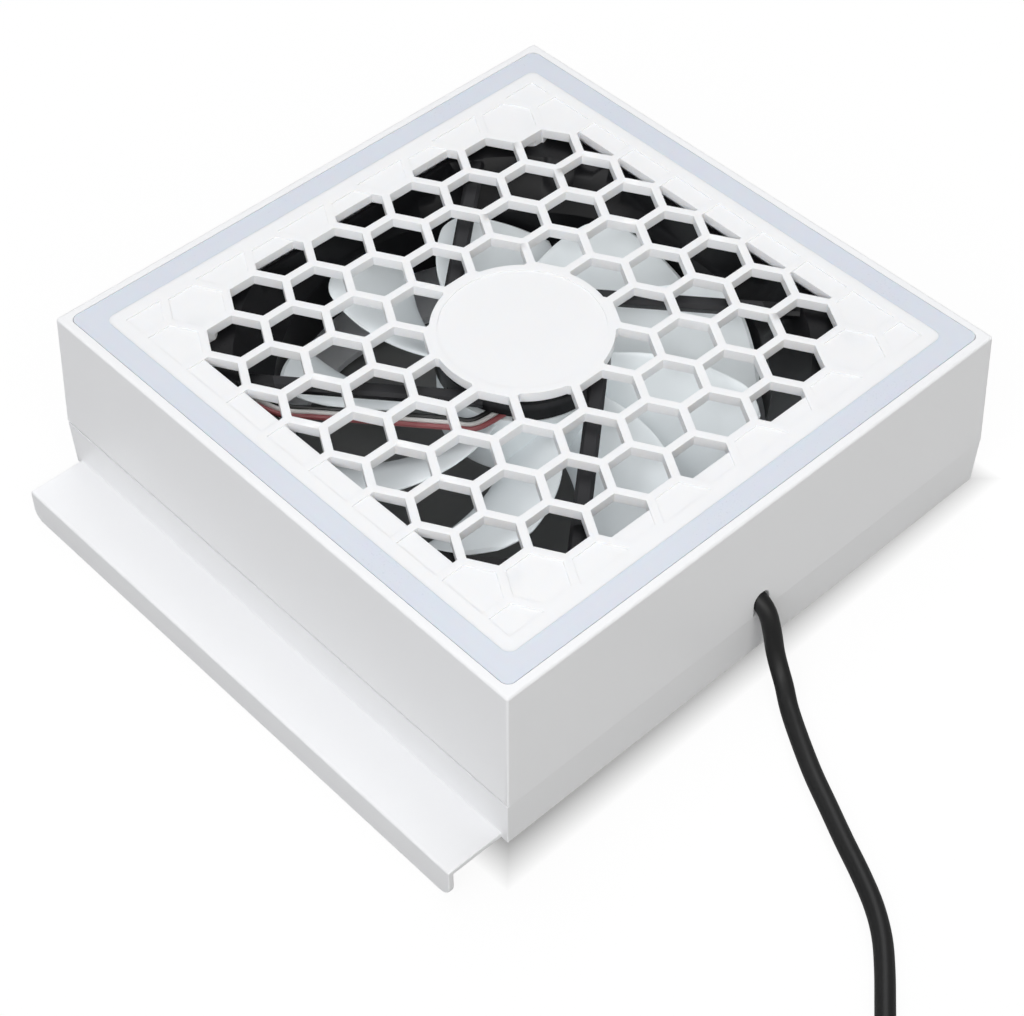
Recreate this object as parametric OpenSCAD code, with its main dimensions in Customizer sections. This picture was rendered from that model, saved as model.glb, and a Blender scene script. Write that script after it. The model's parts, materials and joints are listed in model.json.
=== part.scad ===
// Console cooling fan: a square two-part casing with a hexagon vent, a light ring,
// a 120 mm fan inside, a hook ledge for the console's edge and a power cord.

/* [Casing] */
// Outer side of the casing at its top rim
rim_side = 151; // [140:0.5:170]
// Height of the upper shell
shell_h = 33.9; // [30:0.1:45]
// How far each shell wall leans out from the rim down to the parting line
shell_lean = 1.6; // [0:0.1:3]
// Wall thickness of both mouldings
wall = 2.2; // [1.6:0.1:3]
// Height of the base tray
base_h = 13.2; // [10:0.1:25]
// How far the base wall leans in from the parting line down to the underside
base_lean = 0.3; // [0:0.1:2]
// Step back of the base wall at the parting line
parting_step = 0.2; // [0:0.05:0.6]
// Thickness of the base floor
floor_t = 2; // [1.5:0.1:3]
// Radius of the air inlet in the base floor
inlet_r = 57; // [45:0.5:60]
// Distance of the corner screws' middle from the inner face of the light trough
post_inset = 2; // [0.5:0.1:3.5]
// Radius of the corner screw posts
post_r = 3.4; // [3:0.1:4]
// Depth of the light trough below the light guide
trough_d = 6; // [4:0.1:8]
// Thickness of the trough's floor and width of its inner wall above the panel's edge
trough_t = 1.8; // [1.2:0.1:2.5]

/* [Hook] */
// Reach of the hook from the base wall to the outer face of the lip
hook_reach = 15.1; // [8:0.1:25]
// Thickness of the ledge and lip
hook_t = 1.5; // [1:0.1:2]
// Drop of the lip below the base underside
lip_drop = 7.6; // [4:0.1:15]
// Set-back of each hook end from the side of the base
hook_inset = 2; // [0:0.1:10]
// Outer radius of the bend between ledge and lip
hook_r = 0.6; // [0.5:0.1:1.5]
// Radius of the lip's lower corners
lip_r = 3.2; // [1:0.1:5]

/* [Grille and light] */
// Thickness of the grille panel and the light guide
panel_t = 2.6; // [2:0.1:3.5]
// Width of the slot for the light guide
light_w = 6; // [5:0.1:8]
// Gap on each side of the light guide
seam = 0.15; // [0.05:0.05:0.4]
// Width of the step that carries each edge of the light guide
guide_step = 0.6; // [0.4:0.1:1]
// Corner radius of the light guide, the panel inside it and the rim outside it
guide_r = 2; // [0.5:0.1:3]
// Distance between hexagon centres along X
hex_pitch = 14.2; // [10:0.1:20]
// Width of the ribs between the hexagons
hex_rib = 2; // [1.2:0.1:3]
// Side of the square vent
vent_side = 118; // [90:1:122]
// Largest sum of a cell centre's X and Y distances: it keeps the screw corners closed
vent_corner = 100; // [80:1:104]
// Margin between the shallow cells around the vent and the panel's edge
border_margin = 3.3; // [1:0.1:6]
// Depth of the shallow cells and of the disc's recess
recess_d = 0.3; // [0.2:0.1:1]
// Radius of the bare centre disc
disc_r = 21.3; // [18:0.1:26]
// Width of the rim around the disc's recess
disc_rim = 1.8; // [1:0.1:4]

/* [Lights] */
// Width of a light strip
strip_w = 4; // [3:0.1:4.4]
// Thickness of a light strip
strip_t = 0.4; // [0.2:0.1:0.8]
// Number of light chips on each side
chips_per_side = 6; // [3:1:10]
// Length of a light chip along its strip
chip_l = 3.5; // [2:0.1:5]
// Width of a light chip
chip_w = 2.8; // [1.5:0.1:3]
// Height of a chip
chip_h = 1.4; // [0.6:0.1:2]

/* [Fan frame] */
// Side of the square fan frame
fan_side = 120; // [118:0.5:122]
// Thickness of the fan
fan_t = 25; // [24:0.5:27]
// Height of the bosses between the grille panel and the fan
boss_h = 1.6; // [1:0.1:3]
// Radius of the bosses
boss_r = 4.2; // [3.5:0.1:5]
// Distance between the fan's screw holes
fan_pitch = 105; // [104:0.5:106]
// Radius of the fan's screw holes
fan_hole_r = 2.2; // [2.05:0.05:2.5]
// Thickness of the fan's two flanges
flange_t = 4; // [3:0.1:5]
// Corner radius of the flanges
fan_corner_r = 5; // [2:0.5:7]
// Radius of the duct bore
duct_r = 57.6; // [56:0.1:58]
// Wall of the duct
duct_wall = 2.3; // [1.5:0.1:3]
// Depth of the duct's flare towards the grille
flare_d = 10.5; // [6:0.5:14]
// Width of the flare at the corners of the frame
flare_w = 8.5; // [2:0.1:9]
// Wall that the flare leaves at the sides of the frame
flare_wall = 1.4; // [1:0.1:2]
// Number of struts
struts = 4; // [3:1:6]
// Width of a strut
strut_w = 4.2; // [2.5:0.1:5]
// Height of a strut
strut_h = 3; // [2.4:0.1:4.2]
// Slant along the upper edges of a strut
strut_slant = 0.8; // [0.2:0.1:1.2]
// Width of a strut's lower face
strut_foot = 2; // [1:0.1:2.5]
// Distance of a strut's middle line from the fan's axis
strut_offset = 18.2; // [10:0.1:18.3]
// Direction of the first strut
strut_angle = 40.5; // [0:0.5:90]
// Depth of the motor wires under the tops of the struts
lead_drop = 4; // [3.5:0.1:4.5]
// Set-back of the struts and the motor base from the fan's top face
strut_drop = 0.3; // [0:0.1:1]
// Radius of the motor base
motor_r = 20.5; // [20:0.1:22]
// Height of the motor base
motor_h = 5; // [4:0.1:6]
// Wall of the motor base
motor_wall = 1.6; // [1:0.1:2]

/* [Rotor] */
// Number of blades
blades = 9; // [5:1:11]
// Gap between the blade tips and the duct
tip_gap = 1.4; // [0.8:0.1:3]
// Radius of the hub
hub_r = 20; // [19.5:0.1:20.5]
// Wall of the hub
hub_wall = 1.5; // [1.2:0.1:1.8]
// Gap between the hub and the motor base
hub_gap = 0.8; // [0.5:0.1:1.5]
// Height of the hub's closed face above the fan's lower face
hub_lift = 1.5; // [1:0.1:3]
// Greatest thickness of a blade
blade_t = 1.8; // [1.2:0.1:2.4]
// Lowest edge of a blade above the fan's lower face
blade_lift = 3; // [2:0.1:6]
// Height of a blade at the root
root_h = 13; // [10:0.1:14]
// Height of a blade at the tip
tip_h = 13.5; // [6:0.1:14]
// Angle that a blade spans at the root
root_span = 36; // [25:1:50]
// Angle that a blade spans at the tip
tip_span = 30; // [20:1:48]
// Angle by which the blade tip leads its root
blade_sweep = 21; // [0:1:30]
// Angle of the first blade
rotor_angle = 1.5; // [0:0.5:40]

/* [Motor] */
// Diameter of the shaft
shaft_d = 3; // [2:0.1:4]
// Radial running clearance between shaft and sleeve
shaft_fit = 0.03; // [0.01:0.01:0.1]
// Radial wall of the sleeve bearing
sleeve_wall = 1.5; // [1:0.1:2]
// Length of the sleeve bearing
sleeve_l = 13; // [8:0.5:14]
// Wall of the bearing tube
tube_wall = 1.2; // [0.8:0.1:2]
// Gap between the bearing tube and the hub's shaft boss
tube_gap = 0.6; // [0.4:0.1:1]
// Height of the shaft boss inside the hub
shaft_boss_h = 1.6; // [1:0.1:3]
// Thickness of the steel yoke
yoke_t = 1; // [0.6:0.1:1.4]
// Thickness of the magnet ring
magnet_t = 2.2; // [1.5:0.1:3]
// Radial gap between magnet and stator
air_gap = 0.6; // [0.4:0.1:1]
// Height of the stator core
core_h = 6; // [4:0.5:8]
// Height of the windings and the magnet
winding_h = 10; // [8:0.5:11]
// Width of a stator arm
arm_w = 4; // [3:0.1:5]
// Thickness of a pole shoe
shoe_t = 1.6; // [1:0.1:2.5]
// Thickness of a winding around its arm
winding_t = 2.4; // [1:0.1:2.6]
// Thickness of the circuit boards
board_t = 1.2; // [0.8:0.1:1.6]
// Height of the pads that carry the motor's board
pad_h = 1; // [0.6:0.1:1.5]
// Thickness of the shaft's clip
clip_t = 0.5; // [0.3:0.1:0.8]

/* [Screws] */
// Shank radius of the fan screws
fan_screw_r = 1.9; // [1.6:0.05:2]
// Head radius of the fan screws
fan_head_r = 3.6; // [3:0.1:4]
// Head height of the fan screws
fan_head_h = 2.2; // [1.5:0.1:3]
// Shank radius of the casing screws
case_screw_r = 1.25; // [1:0.05:1.5]
// Head radius of the casing screws
case_head_r = 2.4; // [2.1:0.1:2.7]
// Head height of the casing screws
case_head_h = 1.8; // [1.2:0.1:2.5]
// Depth of the screw wells in the base
well_d = 6; // [4:0.1:8]
// Depth of the casing screws in the shell's posts
case_bite = 8; // [5:0.5:12]
// Clearance around screws and inserted pieces
fit = 0.1; // [0.05:0.05:0.3]

/* [Electronics] */
// Length of the control board
board_l = 30; // [20:1:32]
// Width of the control board
board_w = 9; // [7:0.5:10]
// Gap between the control board and the base wall
board_gap = 3.4; // [2:0.1:5]
// Distance of the control board's middle from the casing's axis along Y
board_y = -44; // [-46:0.5:-40]
// Height of the control board above the base floor
board_lift = 9; // [6:0.5:11]
// Diameter of the thin wires
wire_d = 1.3; // [1:0.1:1.4]

/* [Cord] */
// Diameter of the power cord
cord_d = 4.4; // [4:0.1:4.6]
// Width of the notch that the cord leaves by
notch_w = 5; // [4.8:0.1:7]
// Height of the notch
notch_h = 6.6; // [6.6:0.1:9]
// Length of the cord clamp along the cord
clamp_l = 6; // [4:0.5:7]
// Width of the cord clamp
clamp_w = 15; // [14:0.5:20]
// Thickness of the clamp bar over the cord
clamp_t = 2; // [1.5:0.1:3]
// Number of turns in the coil
coil_turns = 5.25; // [3.25:1:7.25]
// Diameter of the coil at the middle of its turns
coil_d = 48.4; // [44:0.2:52]
// Gap between the coil's turns
coil_gap = 0.6; // [0.5:0.1:1.5]
// Width of the tie
tie_w = 6; // [3:0.5:12]
// Thickness of the tie
tie_t = 0.6; // [0.4:0.1:1.2]
// Length of the plug's grip
grip_l = 27; // [20:0.5:40]
// Width of the plug's grip
grip_w = 15.6; // [14:0.1:20]
// Height of the plug's grip
grip_h = 8; // [7:0.1:10]
// Length of the moulded sleeve behind the grip
sleeve_taper_l = 10; // [6:0.5:20]
// Length of the plug's metal shell
plug_l = 18.8; // [15:0.1:20]
// Width of the plug's metal shell
plug_w = 12; // [11:0.1:13]
// Height of the plug's metal shell
plug_h = 4.5; // [4:0.1:5]

/* [Hidden] */
$fn = 96;
// Overlap of cutting shapes and of pieces that grow together
eps = 0.5;

// Levels, from the lip's lower edge up
base_z = lip_drop;
part_z = base_z + base_h;
rim_z = part_z + shell_h;
panel_z = rim_z - panel_t;
trough_z = panel_z - trough_d;
fan_top = panel_z - boss_h;
fan_z = fan_top - fan_t;
floor_z = base_z + floor_t;

// Half side of the fan frame, and half sides of the casing, which always takes the fan
fan_half = max(fan_side / 2, duct_r + duct_wall + fit);
rim_half = max(rim_side / 2, fan_half + fit + trough_t + light_w + wall);
shell_half = rim_half + shell_lean;
base_top_half = shell_half - parting_step;
base_half = base_top_half - base_lean;
rim_inner = rim_half - wall;
panel_half = rim_inner - light_w;
trough_in = panel_half - trough_t;
trough_out = rim_inner - guide_step;
post_xy = trough_in + post_inset;
border_side = 2 * (panel_half - border_margin);

// Hook, and the casing axis set so that the whole part is centred along Y
lip_y = base_half + hook_reach;
hook_half = base_half - hook_inset;
fan_y = (lip_y - shell_half) / 2;

// The surface that the part stands on runs from the lip's inner edge to the base's rear edge
rest_y = lip_y - hook_t;
rest_tilt = atan(lip_drop / (rest_y + base_half));

// Grille cells
hex_r = (hex_pitch - hex_rib) / sqrt(3);
row_pitch = hex_pitch * sqrt(3) / 2;
cell_rows = ceil(border_side / 2 / row_pitch);
cell_columns = ceil(border_side / 2 / hex_pitch);
cells = [for (row = [-cell_rows : cell_rows], column = [-cell_columns : cell_columns])
    [(column + (row % 2 == 0 ? 0 : 0.5)) * hex_pitch, row * row_pitch]];

// Motor and rotor
tip_r = duct_r - tip_gap;
base_plate_z = fan_top - strut_drop - motor_wall;
skirt_z = fan_top - strut_drop - motor_h;
hub_z = fan_z + hub_lift;
hub_top = skirt_z - hub_gap;
hub_floor = hub_z + hub_wall;
shaft_r = shaft_d / 2;
sleeve_r = shaft_r + shaft_fit + sleeve_wall;
tube_r = sleeve_r + tube_wall;
tube_z = hub_floor + shaft_boss_h + tube_gap;
sleeve_top = tube_z + sleeve_l;
clip_z = sleeve_top + fit;
shaft_top = clip_z + 3 * clip_t;
yoke_r = hub_r - hub_wall;
magnet_r = yoke_r - yoke_t;
stator_r = magnet_r - magnet_t - air_gap;
motor_board_top = base_plate_z - pad_h;
board_margin = 1;
motor_board_r = motor_r - motor_wall - board_margin;
stator_mid = (hub_floor + motor_board_top - board_t) / 2;
arm_end = stator_r - shoe_t;
arm_root = tube_r + fit + shoe_t;
shoe_span = 68;

// Electronics and wires
board_z = floor_z + board_lift;
board_x = base_half - wall - board_gap - board_w / 2;
board_post_r = 2;
wire_r = wire_d / 2;

// Cord
cord_r = cord_d / 2;
clamp_x = (fan_half + shell_half - wall) / 2;
clamp_screw_r = 1;
clamp_head_r = 1.9;
clamp_head_h = 1.2;
clamp_bite = 6;
clamp_screw_y = clamp_w / 2 - clamp_head_r - eps;
coil_pitch = cord_d + coil_gap;
coil_out = coil_d / 2 + coil_turns / 4 * coil_pitch;
coil_in = coil_out - coil_turns / 2 * coil_pitch;
coil_at = [209, -59];
coil_start = -137;
coil_low = tie_t + fit + cord_r;
coil_rings = 24;
coil_sides = 6;

// Route of the cord: from its clamp, out of the notch and down, in casing coordinates
cord_drop = [[62, 0, 25.2], [66, 0, 25.2], [71.5, 0, 25.2], [74.5, 0, 25], [77, 0, 24], [79, 0, 22.2],
    [80.4, -0.2, 19.7], [81.6, -0.4, 16.6], [83.2, -1, 13.2], [85.4, -1.8, 10.3], [88.4, -3.2, 8]];
// Route of the cord on the surface that the part stands on, as X and Y
cord_lay = [[93, -6], [100, -10.4], [108, -15], [116, -19], [124, -23], [132, -26.8],
    [139, -30.6], [145, -35], [150.4, -40.4], [156.4, -47.2], [163.4, -55.2], [170.4, -62.8]];
// Route of the cord's end from the coil to the plug, as distance along the plug's line and height
tail_lay = [[4.6, 7.9], [12, 7.4], [20, 6], [28, 4.6], [36, 4], [44, 4]];
// Route of the motor's wires from the fan's corner, along the casing wall to the control board
lead_lay = [[-37.5, -53.5, 45], [-41, -57.5, 43], [-42.5, -62, 40], [-40.5, -66, 36], [-35, -68.3, 32],
    [-26, -69, 28], [-14, -69, 25], [0, -69, 23.5], [16, -69, 22.6], [32, -69, 22], [46, -68.6, 21.6],
    [54, -67, 21.2], [59.5, -63.6, 20.8], [62.6, -59, 20.5], [64, -54, 20.5]];
// Route of the cord's cores from the end of its jacket to the control board
core_lay = [[61.8, 0, 25.2], [60.6, -0.2, 25], [59.4, -1.6, 24.1], [58.7, -4, 23], [58.6, -8, 22],
    [59.5, -14, 21.5], [62, -20, 21], [63.8, -25, 20.6], [64.4, -31, 20.5]];

// Places a node of the casing so that the part stands centred on its origin
module place() {
    translate([0, fan_y, 0]) children();
}

// Lays children that are drawn on a level plane onto the surface the part stands on
module on_floor() {
    translate([0, -rest_y, 0]) rotate([rest_tilt, 0, 0]) translate([0, rest_y, 0]) children();
}
function floor_point(p) = [p.x, (p.y + rest_y) * cos(rest_tilt) - p.z * sin(rest_tilt) - rest_y,
    (p.y + rest_y) * sin(rest_tilt) + p.z * cos(rest_tilt)];

// A square block whose sides lean, from half side low at z0 to half side high at z1
module leaning_block(low, high, z0, z1) {
    outline = [[-low, z0], [low, z0], [high, z1], [-high, z1]];
    length = 3 * max(low, high);
    intersection() {
        rotate([90, 0, 0]) linear_extrude(length, center = true) polygon(outline);
        rotate([90, 0, 90]) linear_extrude(length, center = true) polygon(outline);
    }
}

// Flat square with round corners
module round_square(side, r) {
    square([side, side - 2 * r], center = true);
    square([side - 2 * r, side], center = true);
    for (x = [-1, 1], y = [-1, 1]) translate([x, y] * (side / 2 - r)) circle(r);
}

// Square ring between two half sides, from z0 up
module square_ring(outer, inner, z0, height) {
    translate([0, 0, z0]) linear_extrude(height) difference() {
        square(2 * outer, center = true);
        square(2 * inner, center = true);
    }
}

// Copies a child to the four corners at a distance along X and Y
module corners(distance) {
    for (x = [-1, 1], y = [-1, 1]) translate([x * distance, y * distance, 0]) children();
}

// Copies a child to the four sides
module sides() {
    for (turn = [0 : 3]) rotate(90 * turn) children();
}

// Unit vector, a path moved to its left, and the rings of a tube that follows points
function unit(v) = v / norm(v);
function heading(path, i) = unit(path[min(i + 1, len(path) - 1)] - path[max(i - 1, 0)]);
function beside(path, shift) = [for (i = [0 : len(path) - 1])
    let (h = heading(path, i)) path[i] + shift * unit([-h.y, h.x, 0])];
function ring(centre, along, r, sides, up) =
    let (across = unit(cross(along, up)), rise = cross(across, along))
    [for (k = [0 : sides - 1]) centre + r * (cos(360 * k / sides) * across + sin(360 * k / sides) * rise)];

// Round tube swept along points; up is any direction that the path never takes
module tube(path, r, sides = 8, up = [0, 0, 1]) {
    rings = len(path);
    points = [for (i = [0 : rings - 1]) each ring(path[i], heading(path, i), r, sides, up)];
    skin = [for (i = [0 : rings - 2], k = [0 : sides - 1])
        let (a = i * sides + k, b = i * sides + (k + 1) % sides)
        each [[a, a + sides, b + sides], [a, b + sides, b]]];
    last = (rings - 1) * sides;
    ends = [for (k = [1 : sides - 2]) each [[0, k, k + 1], [last, last + k + 1, last + k]]];
    polyhedron(points, concat(skin, ends));
}

// Upper shell: leaning walls, light trough, screw posts and the arched cord notch
module upper_shell() {
    post_top = trough_z - trough_t / 2;
    color("white") difference() {
        union() {
            difference() {
                leaning_block(shell_half, rim_half, part_z, rim_z);
                lean = shell_lean / shell_h * eps;
                leaning_block(shell_half - wall + lean, rim_inner - lean, part_z - eps, rim_z + eps);
            }
            square_ring(rim_half - wall / 2, trough_in, trough_z - trough_t, trough_t);
            square_ring(rim_half - wall / 2, trough_out, trough_z - eps, trough_d + eps);
            square_ring(panel_half + guide_step, trough_in, trough_z - eps, trough_d + eps);
            translate([0, 0, panel_z]) linear_extrude(panel_t) difference() {
                square(2 * rim_half - wall, center = true);
                round_square(2 * rim_inner, guide_r + seam);
            }
            corners(post_xy) translate([0, 0, part_z]) cylinder(h = post_top - part_z, r = post_r);
        }
        corners(post_xy) translate([0, 0, part_z - eps])
            cylinder(h = case_bite + 2 * eps, r = case_screw_r + fit);
        cord_notch();
        led_lead_hole();
    }
}

// Arched opening for the cord, in the wall on the +X side
module cord_notch() {
    translate([shell_half - 2 * wall, 0, part_z]) rotate([90, 0, 90]) linear_extrude(3 * wall) {
        translate([0, notch_h - notch_w / 2]) circle(notch_w / 2);
        translate([-notch_w / 2, -eps]) square([notch_w, notch_h - notch_w / 2 + eps]);
    }
}

// Hole in the trough floor for the wires of the light strips
led_lead_xy = [(panel_half + guide_step + trough_out) / 2, board_y];
module led_lead_hole() {
    translate([led_lead_xy.x, led_lead_xy.y, trough_z - 2 * trough_t])
        cylinder(h = 3 * trough_t, r = 2 * wire_d - wire_r);
}

// A cell is open inside the vent and shallow outside it
vent_half = vent_side / 2;
function open_cell(c) = abs(c.x) < vent_half + hex_r / 2 && abs(c.y) < vent_half + hex_r / 2
    && abs(c.x) + abs(c.y) < vent_corner;
module cells_2d(open, side) {
    intersection() {
        square(side, center = true);
        for (c = cells) if (open_cell(c) == open) translate(c) rotate(30) circle(hex_r, $fn = 6);
    }
}

// Grille panel: hexagon vent, shallow border cells, bare centre disc and bosses for the fan
module grille_panel() {
    skin = 0.6;
    color("white") difference() {
        union() {
            translate([0, 0, panel_z]) linear_extrude(panel_t) difference() {
                round_square(2 * (panel_half - seam), guide_r);
                difference() {
                    cells_2d(true, vent_side);
                    circle(disc_r);
                }
            }
            corners(fan_pitch / 2) translate([0, 0, fan_top]) cylinder(h = boss_h + eps, r = boss_r);
        }
        translate([0, 0, rim_z - recess_d]) linear_extrude(recess_d + eps) cells_2d(false, border_side);
        translate([0, 0, rim_z - recess_d]) cylinder(h = recess_d + eps, r = disc_r - disc_rim);
        corners(fan_pitch / 2) translate([0, 0, fan_top - eps])
            cylinder(h = boss_h + panel_t - recess_d - skin + eps, r = fan_screw_r + fit);
    }
}

// Light guide: milky square ring that lies on a step at each edge
module light_guide() {
    color("lavender") translate([0, 0, panel_z]) linear_extrude(panel_t) difference() {
        round_square(2 * (rim_inner - seam), guide_r);
        round_square(2 * (panel_half + seam), guide_r + 2 * seam);
    }
}

// Light strips on the trough floor, one on each side
strip_mid = (panel_half + guide_step + trough_out) / 2;
strip_l = 2 * (strip_mid - strip_w);
module led_strips() {
    color("ivory") sides() translate([strip_mid, 0, trough_z + strip_t / 2])
        cube([strip_w, strip_l, strip_t], center = true);
}

// Light chips on the strips
module led_chips() {
    pitch = strip_l / chips_per_side;
    color("gold") sides() for (i = [0 : chips_per_side - 1])
        translate([strip_mid, (i + 0.5) * pitch - strip_l / 2, trough_z + strip_t + chip_h / 2])
            cube([chip_w, chip_l, chip_h], center = true);
}

// Base tray: floor with the air inlet, walls, screw wells, posts, and the hook in one piece
module base_tray() {
    lean = base_lean / base_h * eps;
    well_z = base_z + well_d;
    color("white") difference() {
        union() {
            difference() {
                leaning_block(base_half, base_top_half, base_z, part_z);
                leaning_block(base_half - wall, base_top_half - wall + lean, floor_z, part_z + eps);
            }
            corners(post_xy) translate([0, 0, base_z]) cylinder(h = base_h, r = post_r);
            hook();
            for (end = [-1, 1]) translate([board_x, board_y + end * board_l / 4, floor_z - eps])
                cylinder(h = board_lift + eps, r = board_post_r);
            translate([clamp_x - clamp_l / 2, -clamp_w / 2, floor_z - eps])
                cube([clamp_l, clamp_w, cord_drop[0].z - floor_z + eps]);
        }
        translate([0, 0, base_z - eps]) cylinder(h = floor_t + 2 * eps, r = inlet_r);
        corners(post_xy) {
            translate([0, 0, base_z - eps]) cylinder(h = well_d + eps, r = case_head_r + fit);
            translate([0, 0, well_z - eps]) cylinder(h = base_h, r = case_screw_r + fit);
        }
        clamp_bore();
        for (y = [-1, 1] * clamp_screw_y) translate([clamp_x, y, cord_drop[0].z - clamp_bite])
            cylinder(h = clamp_bite + eps, r = clamp_screw_r + fit / 2);
    }
}

// Hook ledge and lip, as one bent section with rounded lower corners
module hook() {
    top = base_z + hook_t;
    intersection() {
        rotate([90, 0, 90]) linear_extrude(2 * hook_half, center = true) difference() {
            translate([-lip_y, 0]) square([hook_reach + wall, top]);
            translate([hook_t - lip_y, -eps]) square([hook_reach + 2 * wall, base_z + eps]);
            translate([-lip_y, top - hook_r]) difference() {
                translate([-eps, 0]) square(hook_r + eps);
                translate([hook_r, 0]) circle(hook_r);
            }
            translate([-lip_y - eps, top]) square(hook_r);
        }
        rotate([90, 0, 0]) linear_extrude(3 * lip_y, center = true) {
            translate([-hook_half, lip_r]) square([2 * hook_half, top]);
            translate([lip_r - hook_half, 0]) square([2 * (hook_half - lip_r), top]);
            for (x = [-1, 1]) translate([x * (hook_half - lip_r), lip_r]) circle(lip_r);
        }
    }
}

// Casing screws, driven up through the wells of the base into the shell's posts
module case_screws() {
    shoulder = base_z + well_d;
    color("dimgray") corners(post_xy) {
        translate([0, 0, shoulder - case_head_h]) cylinder(h = case_head_h, r = case_head_r);
        translate([0, 0, shoulder - eps]) cylinder(h = base_h - well_d + case_bite + eps, r = case_screw_r);
    }
}

// Flare of the duct towards the grille: a cone that the frame's straight sides cut off
module duct_flare(r, side, past) {
    slope = flare_w / flare_d;
    intersection() {
        translate([0, 0, fan_top - flare_d])
            cylinder(h = flare_d + past, r1 = r, r2 = r + slope * (flare_d + past));
        translate([0, 0, fan_top - flare_d]) linear_extrude(flare_d + past) square(side, center = true);
    }
}

// Fan frame: two flanges, flared duct, struts, motor base and bearing tube
module fan_frame() {
    duct_outer = duct_r + duct_wall;
    strut_start = motor_r / 3;
    strut_outline = [[-strut_foot / 2, -strut_h], [strut_foot / 2, -strut_h], [strut_w / 2, -strut_slant],
        [strut_w / 2 - strut_slant, 0], [strut_slant - strut_w / 2, 0], [-strut_w / 2, -strut_slant]];
    strut_end = sqrt(pow(duct_r + flare_w + fit, 2) - pow(strut_offset + strut_w / 2, 2));
    color([0.13, 0.13, 0.14]) difference() {
        union() {
            difference() {
                union() {
                    for (z = [fan_z, fan_top - flange_t]) translate([0, 0, z])
                        linear_extrude(flange_t) round_square(2 * fan_half, fan_corner_r);
                    translate([0, 0, fan_z]) cylinder(h = fan_t, r = duct_outer);
                    duct_flare(duct_outer, 2 * fan_half, 0);
                }
                duct_flare(duct_r, 2 * (fan_half - flare_wall), eps);
                translate([0, 0, fan_z - eps]) cylinder(h = fan_t + 2 * eps, r = duct_r);
                corners(fan_pitch / 2) translate([0, 0, fan_z - eps])
                    cylinder(h = fan_t + 2 * eps, r = fan_hole_r);
                lead_way();
            }
            difference() {
                union() {
                    intersection() {
                        for (i = [0 : struts - 1]) rotate(strut_angle + 360 / struts * i)
                            translate([strut_start, strut_offset, fan_top - strut_drop]) rotate([90, 0, 90])
                                linear_extrude(strut_end - strut_start) polygon(strut_outline);
                        translate([0, 0, fan_z]) linear_extrude(fan_t)
                            square(2 * fan_half - flare_wall, center = true);
                    }
                    difference() {
                        translate([0, 0, skirt_z]) cylinder(h = motor_h, r = motor_r);
                        lead_way();
                    }
                }
                translate([0, 0, skirt_z - eps])
                    cylinder(h = motor_h - motor_wall + eps, r = motor_r - motor_wall);
            }
            translate([0, 0, tube_z]) cylinder(h = base_plate_z - tube_z + eps, r = tube_r);
            for (turn = [0 : 120 : 240]) rotate(turn)
                translate([motor_board_r - pad_h, 0, motor_board_top]) cylinder(h = pad_h + eps, r = pad_h);
        }
        translate([0, 0, tube_z - eps]) cylinder(h = shaft_top - tube_z + 2 * eps, r = sleeve_r);
    }
}

// Fan screws, driven up through the top flange into the panel's bosses
module fan_screws() {
    head_z = fan_top - flange_t - fan_head_h;
    bite = boss_h + panel_t / 2 - fit;
    color("dimgray") corners(fan_pitch / 2) {
        translate([0, 0, head_z]) cylinder(h = fan_head_h, r = fan_head_r);
        translate([0, 0, head_z]) cylinder(h = fan_head_h + flange_t + bite, r = fan_screw_r);
    }
}

// Sleeve bearing pressed into the bearing tube
module sleeve_bearing() {
    color("peru") translate([0, 0, tube_z]) difference() {
        cylinder(h = sleeve_l, r = sleeve_r);
        translate([0, 0, -eps]) cylinder(h = sleeve_l + 2 * eps, r = shaft_r + shaft_fit);
    }
}

// Stator core: four arms with curved pole shoes around the bearing tube
module stator_core() {
    color("slategray") translate([0, 0, stator_mid - core_h / 2]) linear_extrude(core_h) {
        difference() {
            union() {
                circle(arm_root);
                for (turn = [0 : 90 : 270]) rotate(turn)
                    translate([0, -arm_w / 2]) square([arm_end + fit, arm_w]);
                intersection() {
                    difference() {
                        circle(stator_r);
                        circle(arm_end);
                    }
                    for (turn = [0 : 90 : 270]) rotate(turn) polygon([[0, 0],
                        2 * stator_r * [cos(shoe_span / 2), -sin(shoe_span / 2)],
                        2 * stator_r * [cos(shoe_span / 2), sin(shoe_span / 2)]]);
                }
            }
            circle(tube_r + fit / 2);
        }
    }
}

// Windings, one around each arm
module stator_coils() {
    half = arm_w / 2 + winding_t;
    start = max(arm_root, half) + fit;
    length = sqrt(pow(arm_end, 2) - pow(half, 2)) - fit - start;
    color("chocolate") for (turn = [0 : 90 : 270]) rotate(turn) difference() {
        translate([start, -half, stator_mid - winding_h / 2]) cube([length, 2 * half, winding_h]);
        translate([0, -arm_w / 2, stator_mid - core_h / 2]) cube([stator_r, arm_w, core_h]);
    }
}

// Motor board, a ring held on pads under the motor base
module fan_board() {
    color("darkgreen") translate([0, 0, motor_board_top - board_t]) difference() {
        cylinder(h = board_t, r = motor_board_r);
        translate([0, 0, -eps]) cylinder(h = board_t + 2 * eps, r = tube_r + fit);
    }
}

// Driver and sensor on the motor board
module fan_board_chips() {
    color([0.1, 0.1, 0.1]) for (turn = [0, 180]) rotate(turn)
        translate([(tube_r + motor_board_r) / 2, 0, motor_board_top - board_t - chip_h / 2])
            cube([chip_l, chip_l, chip_h], center = true);
}

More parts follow.
